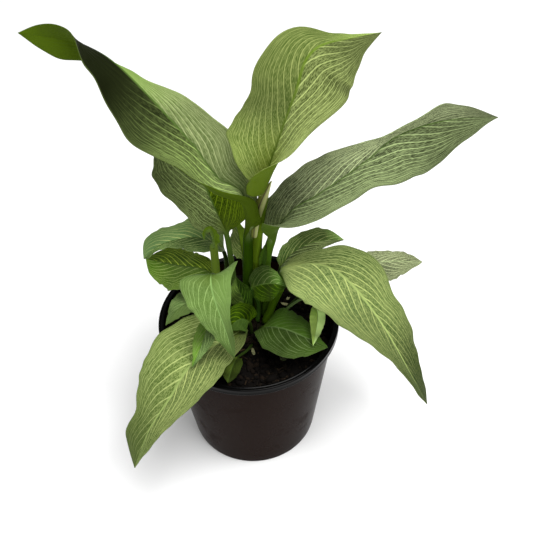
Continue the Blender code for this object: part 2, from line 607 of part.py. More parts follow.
def half_section(leaf, t, width, out, hand):
    """Distance aside, height and slope of a half blade at a share of its width."""
    rise = half_rise(leaf, hand, t)
    cup = math.radians(leaf["cup"]) or 1e-6
    slope = rise + cup * out
    aside = width * (math.sin(slope) - math.sin(rise)) / cup
    height = width * (math.cos(rise) - math.cos(slope)) / cup
    swing, count, phase = leaf["wave"]
    fade = min(1, WAVE_FADE_AT_TIP * (1 - t), WAVE_FADE_AT_BASE * max(t, 0))
    wave = fade * math.sin(math.tau * (count * t + phase) + hand)
    return aside, height + swing * MM * wave * out * out, slope


def lobe_back(leaf, t, out, hand):
    """How far a point reaches back along the stalk, near the base of the blade."""
    lobe = leaf["lobe"][0 if hand < 0 else 1] * MM
    return lobe * out**LOBE_CURVE * math.exp(-max(t, 0) / LOBE_REACH)


def blade_section(leaf, t):
    """The ring of (side, up, back) points round the blade at a share of its length."""
    upper, lower = [], []
    for place in ACROSS:
        hand = -1 if place < 0 else 1
        out = abs(place)
        width = float(half_widths(leaf, hand, t))
        aside, height, slope = half_section(leaf, t, width, out, hand)
        half = min(LEAF_THICKNESS, THICKEST_SHARE * width) / 2
        lean = half * math.sin(slope) if place else 0
        rise = half * (math.cos(slope) if place else 1)
        rib = 0 if place else RIB_DEPTH * (1 - t)
        back = lobe_back(leaf, t, out, hand)
        upper.append((hand * (aside - lean), height + rise, back))
        lower.append((hand * (aside + lean), height - rise - rib, back))
    return np.array(upper + lower[::-1])


def stalk_section(leaf):
    """The ring of (side, up, back) points round the stalk."""
    radius = leaf["stalk_radius"] * MM
    turns = np.radians(STALK_ANGLES)
    return np.stack([radius * np.cos(turns), radius * np.sin(turns), 0 * turns], axis=1)


def leaf_stations(stalk_length, blade_length):
    """Shares of the blade's length where the rings stand, below 0 on the stalk."""
    stalk_rings = max(2, round(stalk_length / STALK_RING_SPACING))
    blade_rings = max(6, round(blade_length / BLADE_RING_SPACING))
    low = -stalk_length / blade_length
    below = np.linspace(low, BLEND_START, stalk_rings + 1)
    above = TIP_CUT * np.linspace(0, 1, blade_rings + 1)[1:] ** BASE_CROWDING
    return np.concatenate([below, [BLEND_RING], above[above > FIRST_BLADE_RING]])


def leaf_frames(leaf, shares=None):
    """Where the rings of a leaf stand and how they are turned."""
    foot = foot_point(*leaf["foot"])
    chart = [plant_point(point) for point in leaf["stalk"] + leaf["rib"]]
    curve = spline([foot] + chart)
    lengths = along(curve)
    base_length = lengths[SPAN_POINTS * (1 + len(leaf["stalk"]))]
    blade_length = lengths[-1] - base_length
    if shares is None:
        shares = leaf_stations(base_length, blade_length)
    places = base_length + shares * blade_length
    reach = TURN_REACH * blade_length * np.clip(shares / BLEND_END, 0, 1) + 0.5 * MM
    forward = sample(curve, lengths, places + reach) - sample(curve, lengths, places - reach)
    forward /= np.linalg.norm(forward, axis=1)[:, None]
    if shares[0] < 0:
        forward[0] = UP
    inward = unit((foot - chart[-1]) * (1, 1, 0))
    face = np.array([facing(leaf, t) for t in shares]) + INWARD_SHARE * inward
    normal = face - forward * (face * forward).sum(axis=1)[:, None]
    normal /= np.linalg.norm(normal, axis=1)[:, None]
    return dict(
        shares=shares,
        middle=sample(curve, lengths, places),
        forward=forward,
        normal=normal,
        side=np.cross(forward, normal),
        length=blade_length,
    )


def leaf_rings(leaf):
    """World points of every ring of a leaf, from its foot to its tip."""
    frames = leaf_frames(leaf)
    rings = []
    for number, t in enumerate(frames["shares"]):
        blend = smoothstep(BLEND_START, BLEND_END, t)
        flat = (1 - blend) * stalk_section(leaf) + blend * blade_section(leaf, t)
        axes = np.stack([frames["side"][number], frames["normal"][number], -frames["forward"][number]])
        rings.append(frames["middle"][number] + flat @ axes)
    return rings


def make_leaf(group, leaf, material):
    """Loft a leaf through its rings and close both ends."""
    shape = bmesh.new()
    rings = [[shape.verts.new(point) for point in ring] for ring in leaf_rings(leaf)]
    count = len(rings[0])
    for ring, following in zip(rings, rings[1:]):
        for k in range(count):
            after = (k + 1) % count
            corners = [ring[k], following[k], following[after], ring[after]]
            turned_over = k >= len(ACROSS)
            corners = corners[turned_over:] + corners[:turned_over]
            shape.faces.new(corners[:3])
            shape.faces.new((corners[0], corners[2], corners[3]))
    shape.faces.new(rings[0])
    shape.faces.new(rings[-1][::-1])
    bmesh.ops.recalc_face_normals(shape, faces=shape.faces)
    mesh = bpy.data.meshes.new(leaf["name"])
    shape.to_mesh(mesh)
    shape.free()
    mesh.shade_smooth()
    return add_object(group, leaf["name"], mesh, material)


def main():
    """Build the pot, the soil, the crown and the leaves."""
    clear_scene()
    plant = new_collection("potted_peace_lily")
    cutters = new_collection("cutters")
    make_pot(plant, cutters)
    make_soil(plant)
    make_crown(plant)
    for leaf in LEAVES:
        colour = LEAF_GREENS.get(leaf["name"], PLAIN_GREEN)
        make_leaf(plant, leaf, make_material(leaf["name"] + "_green", colour, 0.5))


main()
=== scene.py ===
"""A young silver-leaved peace lily in a black nursery pot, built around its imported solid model.

Every leaf is one closed mesh with its stalk: a grid is rolled into a tube and laid along a curve from
the crown to the leaf's tip. Points on it remember their place across and along the blade and on which
side they lie, and the materials draw the veins from that.
"""

import math

import bmesh
import bpy
import numpy as np
from bpy.props import FloatProperty, FloatVectorProperty, IntProperty, PointerProperty
from mathutils import Matrix, Vector, noise


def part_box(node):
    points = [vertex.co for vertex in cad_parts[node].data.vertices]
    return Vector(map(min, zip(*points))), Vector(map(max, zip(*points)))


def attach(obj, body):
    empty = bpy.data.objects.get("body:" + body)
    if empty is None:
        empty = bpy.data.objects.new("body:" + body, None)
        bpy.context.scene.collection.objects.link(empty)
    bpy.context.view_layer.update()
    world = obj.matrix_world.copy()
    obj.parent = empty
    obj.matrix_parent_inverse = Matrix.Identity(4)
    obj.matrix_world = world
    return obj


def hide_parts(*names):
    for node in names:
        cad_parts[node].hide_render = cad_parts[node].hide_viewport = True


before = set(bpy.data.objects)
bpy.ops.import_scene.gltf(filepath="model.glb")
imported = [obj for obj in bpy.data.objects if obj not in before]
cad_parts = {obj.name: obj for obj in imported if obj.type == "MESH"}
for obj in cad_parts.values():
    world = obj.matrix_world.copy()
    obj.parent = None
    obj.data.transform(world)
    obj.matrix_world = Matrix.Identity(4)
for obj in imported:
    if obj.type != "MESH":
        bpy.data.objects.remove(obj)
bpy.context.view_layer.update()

bl_info = {
    "name": "Potted peace lily",
    "version": (1, 0, 0),
    "blender": (4, 5, 0),
    "location": "3D View > Sidebar > Lily",
    "description": "Builds a young silver-leaved peace lily in a black nursery pot",
    "category": "Add Mesh",
}

MM = 0.001
UP = (0, 0, 1)
POT_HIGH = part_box("pot")[1]
SOIL_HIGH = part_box("soil")[1]
CROWN_LOW, CROWN_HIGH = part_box("root_crown")
RIM_RADIUS = POT_HIGH.x
RIM_HEIGHT = POT_HIGH.z
CHART_RIM_RADIUS = 0.0525
CHART_CROWN_RADIUS = 0.0195
CHART_BED_RADIUS = 0.048
BED_RADIUS = SOIL_HIGH.x
GAP = 0.0003

# One entry per leaf. foot is where the stalk stands on the crown or the soil (x, y). stalk and rib
# are points up the stalk and along the midrib, the first rib point being the base of the blade.
# face gives the way the upper side looks at shares of the blade's length. left and right are pairs
# at even shares from base to tip: the half width, and the angle in degrees by which that half rises
# from the midrib. cup is the further bend of each half in degrees, and curl_left and curl_right add
# to it at even shares where a half rolls over. lobe is how far the base of each half reaches back
# beside the stalk, and wave the height, the count and the phase of the waves on the edges.
# Lengths are in millimetres from the middle of the rim.
LEAVES = [
    dict(
        name="leaf_tall_left", look="tall_left", foot=(0, 9), stalk_radius=3.0,
        stalk=[(1.5, 9, 36)],
        rib=[(2.4, 7.2, 60), (2, 5, 80), (0, 2, 95), (-10, 1.5, 103), (-20, 6, 119), (-31, 14, 131),
             (-44, 24, 143), (-60, 36, 154), (-75, 44, 158), (-102, 50, 161)],
        face=[(0, (0.7, -0.7, 0.3)), (0.38, (0, -0.88, 0.5)), (0.6, (-0.1, -0.85, 0.5)),
              (0.75, (0.3, 0.2, 0.9)), (0.86, (0.25, 0.85, 0.1)), (1, (0.15, 0.9, -0.3))],
        left=[(6.5, 60), (10.5, 40), (13.5, 16), (15.8, 5), (18.2, 0), (17.5, 6), (16.9, 12), (19, 13),
              (21.7, 14), (20.4, 12), (19.1, 10), (16.5, 0), (14.9, -10), (13.2, -15), (10.1, -20),
              (5.8, -10), (0, 0)],
        right=[(3, 60), (4.4, 55), (6, 50), (9, 39), (12.9, 27), (15.8, 24), (19.7, 20), (17.5, 21),
              (14.8, 22), (8.4, 1), (4.4, -20), (5, -40), (6.8, -60), (9.1, -45), (10.2, -30), (6.4, -15),
              (0, 0)],
        curl_left=[60, 150, 150, 60, 5, 0, 0, 0, 0],
        cup=8, lobe=(0, 0), wave=(1, 2.5, 0.1),
    ),
    dict(
        name="leaf_tall_back", look="tall_back", foot=(5, 13.5), stalk_radius=3.0,
        stalk=[(6.4, 12.6, 36), (8.6, 10.7, 63)],
        rib=[(11.8, 2.8, 91), (14.5, -4.8, 113.6), (18, -10, 130), (22, -13, 146), (27, -13, 162),
             (31, -9, 173), (37, -5, 177), (51, 3, 175), (67, 12, 172)],
        face=[(0, (-0.4, -1, 0.1)), (0.4, (-0.5, -0.8, 0.2)), (0.6, (0, -0.9, 0.35)),
              (0.8, (0.2, -0.6, 0.8)), (1, (0.2, -0.6, 0.8))],
        left=[(3, 65), (6.3, 48), (13, 30), (19.5, 20), (24.5, 16), (21.7, 14), (20.4, 14), (19.2, 14),
              (20, 10), (17.8, 5), (12.6, -2), (4.3, -12), (2.6, -15), (1, -12), (0, -10)],
        right=[(9, 65), (14.5, 52), (18, 39), (18.5, 28), (19.6, 23), (17.2, 18), (15.6, 15),
              (14.9, 14), (16.3, 12), (20.2, 11), (22.2, 10), (23.1, 10), (21.9, 10), (16.2, 10),
              (9.6, 9), (4.5, 7), (0, 5)],
        curl_right=[60, 140, 120, 30, 0, 0, 0, 0],
        cup=8, lobe=(0, 0), wave=(1, 2.5, 0.4),
    ),
    dict(
        name="leaf_tall_right", look="tall_right", foot=(11, 10), stalk_radius=2.9,
        stalk=[(11.7, 12.8, 31)],
        rib=[(15.7, 8.2, 55), (20.4, 1.9, 71), (27, -3, 85), (35, -6, 93), (49, -8, 106), (63, -8, 119),
             (72, -6, 127), (92, -1, 131), (116, 5, 128), (126, 7, 126)],
        face=[(0, (-0.86, -0.3, 0.4)), (0.38, (-0.63, -0.45, 0.63)), (0.55, (-0.2, -0.9, 0.4)),
              (0.69, (0.1, -0.9, 0.42)), (0.82, (0.2, -0.6, 0.8)), (1, (0.2, -0.15, 0.96))],
        left=[(5, 50), (10, 41), (13.8, 32), (13.7, 27), (14.6, 22), (15.1, 18), (15.9, 15), (14.6, 20),
              (12.8, 25), (10, 36), (5.7, 46), (6.5, 48), (9.3, 50), (8.6, 39), (6.4, 28), (4.1, 19),
              (0, 10)],
        right=[(2.2, 50), (9.3, 32), (14.4, 15), (17.3, 16), (17.1, 16), (15.8, 16), (14.2, 15),
              (13.7, 14), (12.9, 12), (17.5, 10), (20.9, 9), (21.7, 8), (19.6, 8), (14.4, 8), (10.8, 8),
              (5.4, 6), (0, 5)],
        curl_right=[60, 140, 40, 0, 0, 0, 0, 0, 0],
        cup=4, lobe=(14, 9), wave=(1, 2.5, 0.6),
    ),
    dict(
        name="leaf_behind_left", look="behind_left", foot=(-6.5, 12.5), stalk_radius=1.7,
        stalk=[(-7.5, 16, 22), (-8.5, 15, 44)],
        rib=[(-9.6, 15, 55), (-14, 17, 69), (-19, 24, 82), (-25, 38, 94), (-33, 48, 98), (-42, 60, 98)],
        face=[(0, (0.2, -0.9, 0.5)), (1, (0, -0.5, 0.85))],
        left=[(8, 50), (10.6, 39), (13.2, 28), (15.7, 19), (16.9, 17), (19.1, 15), (21.3, 14), (24.1, 13),
              (25.3, 12), (26.1, 11), (22.4, 10), (20.9, 10), (18.5, 9), (15.5, 8), (11, 7), (5.6, 6),
              (0, 5)],
        right=[(11, 42), (18, 22), (23, 14), (23, 12), (19, 10), (10, 8), (0, 5)],
        cup=6, lobe=(0, 0), wave=(1, 2, 0.2),
    ),
    dict(
        name="leaf_back_small", look="back_small", foot=(-1, 15.5), stalk_radius=1.1,
        stalk=[(-0.5, 20, 12)],
        rib=[(-1, 22, 26), (-2, 23, 36), (-3, 24, 47), (-5, 24, 56)],
        face=[(0, (0, -1, 0.3)), (1, (0, -1, 0.4))],
        left=[(2, 45), (5, 20), (6.5, 14), (6, 12), (4, 10), (2, 8), (0, 5)],
        right=[(2.5, 40), (7, 17), (9, 12), (8.5, 10), (5, 9), (2.4, 8), (0, 5)],
        cup=6, lobe=(0, 0), wave=(0.3, 2, 0),
    ),
    dict(
        name="leaf_left_level", look="left_level", foot=(-8.5, 6.5), stalk_radius=1.4,
        stalk=[(-11, 14, 8), (-11, 20, 24)],
        rib=[(-12, 20, 36), (-19, 20, 44), (-27, 20, 47), (-38, 20, 46), (-48, 20, 42), (-57, 18, 35)],
        face=[(0, (0, 0.1, 1)), (1, (0, -0.2, 1))],
        left=[(5, 15), (6.9, 13), (8.7, 11), (10.3, 9), (11.5, 7), (12.3, 5), (11.8, 4), (10.5, 4),
              (8.9, 4), (7.1, 4), (5.3, 4), (3.9, 4), (3, 4), (2.2, 4), (1.5, 4), (2.5, 5), (0, 5)],
        right=[(7, 40), (8.1, 32), (9.2, 24), (10.2, 17), (11, 14), (11.7, 11), (12.1, 10), (12.2, 9),
              (11.5, 8), (10.1, 8), (10.3, 8), (10.4, 8), (10.5, 6), (9.8, 5), (8.4, 5), (6.1, 5),
              (0, 5)],
        cup=4, lobe=(0, 0), wave=(0.5, 2, 0.3),
    ),
    dict(
        name="leaf_left_lower", look="left_lower", foot=(-15.5, 7), stalk_radius=1.2,
        stalk=[(-16.5, 9.5, 8)],
        rib=[(-18, 12, 24), (-26, 14, 29), (-35, 18, 27), (-45, 24, 24), (-58, 30, 23)],
        face=[(0, UP), (1, (0, -0.3, 1))],
        left=[(9, 12), (12, 11), (14.9, 10), (16.9, 9), (18, 7), (18.5, 5), (18.1, 4), (18.8, 3),
              (16.6, 2), (15.7, 2), (14.4, 2), (13.3, 2), (12.2, 2), (10.7, 2), (8.1, 2), (4.5, 2),
              (0, 2)],
        right=[(4, 30), (5.1, 24), (6.2, 18), (7.4, 13), (8.5, 11), (9.6, 9), (10.5, 7), (11.2, 6),
              (11.8, 5), (12, 5), (11.9, 4), (11.7, 4), (11, 3), (9.8, 3), (7.3, 3), (3.7, 2), (0, 2)],
        cup=-4, lobe=(3, 3), wave=(0.5, 2, 0.8),
    ),
    dict(
        name="sprout_curled", look="sprout", foot=(-12, 2.5), stalk_radius=2.5,
        stalk=[(-16.3, 3.1, 28), (-16.3, 4.4, 46)],
        rib=[(-16.3, 4.4, 55), (-15.8, 4.2, 62.4), (-17.3, 4.2, 67.5), (-20.3, 3.5, 66.3),
             (-20.8, 2.6, 61.4)],
        face=[(0, (0.6, -0.5, 0.4)), (1, (0.4, -0.5, 0.4))],
        left=[(3.2, 45), (3.2, 40), (2.8, 28), (1.9, 12), (1.5, 6), (1.1, 5), (0, 5)],
        right=[(3.2, 45), (3.2, 40), (2.8, 28), (1.9, 12), (1.5, 6), (1.1, 5), (0, 5)],
        cup=12, lobe=(0, 0), wave=(0, 1, 0),
    ),
    dict(
        name="leaf_front_hanging", look="front_hanging", foot=(-8.5, -2.5), stalk_radius=1.3,
        stalk=[(-11, -5, 20), (-15, -12, 46)],
        rib=[(-18, -20, 57), (-18, -26, 55), (-16, -31, 46), (-13, -35, 34), (-9, -40, 13)],
        face=[(0, (0, -0.5, 1)), (0.3, (0, -1, 0.4)), (1, (0, -1, 0.3))],
        left=[(20, 8), (11.5, 12), (8, 10), (4.5, 8), (3.5, 6), (2.5, 5), (0, 5)],
        right=[(17, 12), (15.5, 10), (12.5, 6), (10, 4), (7, 4), (3.5, 4), (0, 4)],
        cup=-4, lobe=(20, 4), wave=(0.5, 2, 0.2),
    ),
    dict(
        name="leaf_front_left", look="front_left", foot=(-4, -8), stalk_radius=1.8,
        stalk=[(-3, -10, -3)],
        rib=[(-3, -13, 4), (-12, -20, 6), (-25, -30, 8), (-36, -42, 6), (-44, -52, -1),
             (-56, -63, -12), (-67, -75, -32)],
        face=[(0, UP), (0.5, (-0.3, -0.2, 1)), (1, (-0.6, -0.5, 0.6))],
        left=[(8, 30), (10.2, 23), (12.5, 16), (14.8, 11), (17, 9), (18.9, 7), (19.3, 6), (18.8, 6),
              (17.6, 6), (14.3, 7), (12.2, 8), (9.9, 8), (8.5, 8), (6.6, 8), (4.5, 7), (2.2, 6), (0, 5)],
        right=[(13, 35), (17.1, 27), (21.1, 19), (24, 13), (25.5, 9), (28.7, 5), (27.4, 4), (27.2, 3),
              (27.8, 2), (26, 3), (22.4, 4), (17.2, 5), (13.5, 6), (13.2, 8), (12.6, 7), (7.3, 6),
              (0, 5)],
        cup=-4, lobe=(0, 0), wave=(0.7, 2, 0.5),
    ),
    dict(
        name="leaf_left_small", look="left_small", foot=(-15.5, -3), stalk_radius=1.1,
        stalk=[(-19, 1, 0)],
        rib=[(-23, 5, 7), (-30, 4, 12), (-36, 0, 14), (-41, -5, 14), (-47, -10, 9)],
        face=[(0, UP), (1, UP)],
        left=[(2, 35), (7, 14), (9, 8), (8, 6), (6, 5), (3, 4), (0, 4)],
        right=[(2, 35), (7, 14), (9, 8), (8, 6), (6, 5), (3, 4), (0, 4)],
        cup=-4, lobe=(0, 0), wave=(0.3, 2, 0),
    ),
    dict(
        name="leaf_front_folded", look="front_folded", foot=(-12, -1), stalk_radius=1.1,
        stalk=[(-13, -3, 13)],
        rib=[(-20, -20, 23), (-22, -25, 25), (-24.5, -31, 22), (-28, -37, 16), (-32, -42, 10)],
        face=[(0, UP), (1, (-0.4, -0.5, 0.7))],
        left=[(3, 45), (7, 25), (8, 20), (7, 20), (5, 20), (2.5, 20), (0, 20)],
        right=[(2, 50), (4, 30), (5, 25), (5, 25), (4, 25), (2, 25), (0, 20)],
        cup=0, lobe=(0, 0), wave=(0.3, 2, 0),
    ),
    dict(
        name="leaf_right_front", look="right_front", foot=(10, 3.5), stalk_radius=2.3,
        stalk=[(15, 5, 6), (21, 8, 19)],
        rib=[(21, 6, 31), (32, 3, 38), (41, 0, 40), (51, -7, 39), (63, -20, 31), (74, -36, 20),
             (86, -50, 0), (95, -57, -17)],
        face=[(0, (-0.1, -0.3, 1)), (0.5, (0.1, -0.2, 1)), (1, (0.6, -0.3, 0.7))],
        left=[(2, 35), (4.2, 27), (6.7, 19), (9.8, 13), (16.5, 11), (19.3, 9), (20.6, 8), (17.5, 7),
              (14.6, 6), (16.4, 6), (15.8, 6), (14.2, 6), (11.7, 7), (9, 8), (7.2, 8), (4.9, 8), (0, 8)],
        right=[(12, 25), (17.2, 18), (22.1, 10), (25.1, 4), (25.5, 2), (24.9, 1), (23.4, 0), (21.2, 0),
              (18.3, 0), (15.9, 2), (12.5, 4), (9.6, 5), (7.1, 7), (4.9, 8), (3.3, 8), (2.3, 8), (0, 8)],
        cup=-5, lobe=(4, 4), wave=(0.8, 2.5, 0.3),
    ),
    dict(
        name="leaf_right_dark", look="right_dark", foot=(17, 17), stalk_radius=1.2,
        stalk=[(18, 17, 8)],
        rib=[(20.5, 17.5, 22), (26.5, 17, 32), (34, 17.5, 38), (44, 19, 39.5), (57, 21, 37)],
        face=[(0, (-0.3, -0.3, 1)), (1, (0, -0.5, 1))],
        left=[(3, 40), (6.5, 20), (8, 12), (8, 8), (8, 6), (6, 5), (0, 5)],
        right=[(3, 40), (6, 20), (7.5, 12), (7, 8), (5, 6), (2.5, 5), (0, 5)],
        cup=-4, lobe=(2, 2), wave=(0.3, 2, 0.2),
    ),
    dict(
        name="leaf_far_right", look="far_right", foot=(14.5, -1.5), stalk_radius=1.2,
        stalk=[(24, 5, 1), (42, 13, 11)],
        rib=[(56, 16, 16), (66, 17, 19), (78, 18, 20), (88, 19, 19), (95, 19, 18), (104, 20, 16)],
        face=[(0, UP), (1, UP)],
        left=[(3, 35), (3.4, 27), (3.8, 19), (4.3, 13), (5, 11), (5.8, 9), (9.5, 7), (8.4, 6), (8.7, 5),
              (8.7, 5), (8.5, 4), (8.8, 4), (7.9, 3), (7.5, 3), (5.9, 3), (3.4, 3), (0, 3)],
        right=[(3, 35), (5.6, 27), (8.2, 19), (10.5, 13), (12.5, 11), (14.1, 9), (14.9, 7), (15, 6),
              (15.6, 5), (14.5, 5), (13.3, 4), (11.8, 4), (9.2, 3), (6.7, 3), (4.4, 3), (2.6, 3), (0, 3)],
        cup=-4, lobe=(0, 0), wave=(0.4, 2, 0.6),
    ),
    dict(
        name="leaf_in_pot_right", look="in_pot_right", foot=(6, -3.5), stalk_radius=1.2,
        stalk=[(6.5, -5, -5)],
        rib=[(8, -8, -1), (14, -14, 6), (21, -19, 9), (31, -24, 7), (43, -28, 2)],
        face=[(0, UP), (1, UP)],
        left=[(13, 20), (15, 10), (14, 5), (12, 3), (10, 2), (5.5, 2), (0, 2)],
        right=[(4, 25), (11, 10), (17, 5), (19, 3), (16, 2), (9, 2), (0, 2)],
        cup=-4, lobe=(3, 3), wave=(0.4, 2, 0.2),
    ),
    dict(
        name="leaf_narrow_right", look="narrow_right", foot=(12.5, -7), stalk_radius=0.8,
        stalk=[(21, 0, 3), (34, -3, 17)],
        rib=[(37, -11, 19), (38, -18, 18), (36, -26, 13), (34, -32, 9)],
        face=[(0, UP), (1, (0.2, -1, 0.4))],
        left=[(1.5, 35), (3.5, 20), (4.5, 15), (4, 15), (3, 15), (1.5, 15), (0, 10)],
        right=[(1.5, 35), (3.5, 20), (4.5, 15), (4, 15), (3, 15), (1.5, 15), (0, 10)],
        cup=0, lobe=(0, 0), wave=(0, 2, 0),
    ),
    dict(
        name="leaf_centre_right", look="centre_right", foot=(5, 4.5), stalk_radius=1.2,
        stalk=[(6, 3.5, 8)],
        rib=[(3.2, 0, 24.6), (9, -1.2, 28.2), (16, -0.9, 27.6), (22, -0.5, 23.9)],
        face=[(0, (0, -0.6, 1)), (1, (0, -0.6, 1))],
        left=[(3, 25), (8, 10), (10.5, 6), (10, 5), (7, 5), (3.5, 4), (0, 4)],
        right=[(3, 25), (8.5, 10), (10, 6), (10, 6), (8, 5), (4, 4), (0, 4)],
        cup=-4, lobe=(2, 2), wave=(0.2, 2, 0.2),
    ),
    dict(
        name="leaf_centre_front", look="centre_front", foot=(-3, 1.5), stalk_radius=1.1,
        stalk=[(-3, 0, 5)],
        rib=[(-1.5, -2, 10), (-3, -2.5, 20), (-5, -3, 29), (-5.5, -2.5, 37)],
        face=[(0, (0.2, -0.8, 0.6)), (1, (0, -0.8, 0.5))],
        left=[(1.5, 35), (5, 14), (6.5, 8), (6.5, 6), (5, 5), (2.5, 4), (0, 4)],
        right=[(2, 35), (5, 14), (6, 8), (6, 6), (5, 5), (2.5, 4), (0, 4)],
        cup=-4, lobe=(0, 0), wave=(0.2, 2, 0.2),
    ),
    dict(
        name="leaf_centre_curled", look="centre_curled", foot=(1, -5), stalk_radius=1.1,
        stalk=[(1, -7, -4)],
        rib=[(0, -10, 7.6), (-4, -12.9, 13.5), (-8, -15.8, 14.2), (-12, -19.2, 11)],
        face=[(0, (0, -0.6, 0.6)), (1, (0, -0.6, 0.8))],
        left=[(3, 35), (6.5, 14), (8, 8), (8, 6), (6.5, 5), (3.5, 4), (0, 4)],
        right=[(3, 35), (8, 14), (9, 8), (9, 6), (7, 5), (4, 4), (0, 4)],
        cup=10, lobe=(0, 0), wave=(0.2, 2, 0.2),
    ),
    dict(
        name="leaf_tiny_round", look="tiny_round", foot=(1, -12.5), stalk_radius=0.8,
        stalk=[(-2, -20, -6)],
        rib=[(-8, -27, -3), (-10, -33, -1), (-12, -39, -1), (-13.5, -45, -2)],
        face=[(0, UP), (1, UP)],
        left=[(2, 25), (4.5, 12), (5, 8), (5, 6), (4.5, 5), (3, 4), (0, 4)],
        right=[(2, 25), (4.5, 12), (5, 8), (5, 6), (4.5, 5), (3, 4), (0, 4)],
        cup=0, lobe=(0, 0), wave=(0, 2, 0),
    ),
    dict(
        name="new_shoot", look="new_shoot", foot=(6, 8), stalk_radius=1.1,
        stalk=[(8, 9.5, 12)],
        rib=[(9, 9, 30), (9.7, 9, 37), (10.6, 8.6, 44), (11.6, 8, 50)],
        face=[(0, (0, -1, 0.2)), (1, (0, -1, 0.2))],
        left=[(1.2, 50), (1.9, 40), (2.2, 30), (2.2, 18), (1.7, 10), (1, 5), (0, 5)],
        right=[(1.2, 50), (1.9, 40), (2.2, 30), (2.2, 18), (1.7, 10), (1, 5), (0, 5)],
        cup=12, lobe=(0, 0), wave=(0, 1, 0),
    ),
]

PLAIN_LOOK = {
    "slot": "striped_leaf",
    "gap": 0.075,
    "sweep": 0.38,
    "vein": 0.8,
    "fine": 0.1,
    "net": 0.42,
    "patch": 0.3,
    "line": 0.2,
    "tip_from": 0.86,
    "under": (0.05, 0.085, 0.018),
    "rib": (0.06, 0.11, 0.02),
    "stalk": (0.022, 0.042, 0.006),
    # glow: partly the base's own paler green, partly painted light shining through the blade.
    "glow": (0.12, 0.18, 0.02),
    "glow_reach": 0.06,
    # Painted light and shade: five levels per half that darken or lighten it from base to tip.
    "shade_left": (1, 1, 1, 1, 1),
    "shade_right": (1, 1, 1, 1, 1),
    "rough": 0.5,
    "shine": 0.1,
    "tip": 0.6,
}


def look(dark, pale, **changes):
    """A leaf's look: darkest and palest green of its left half and of its right half, painted lighter or
    darker as light falls on each, and what differs.
    """
    colours = {"dark_left": dark[0], "dark_right": dark[-1], "pale_left": pale[0], "pale_right": pale[-1]}
    return {**PLAIN_LOOK, **colours, **changes}
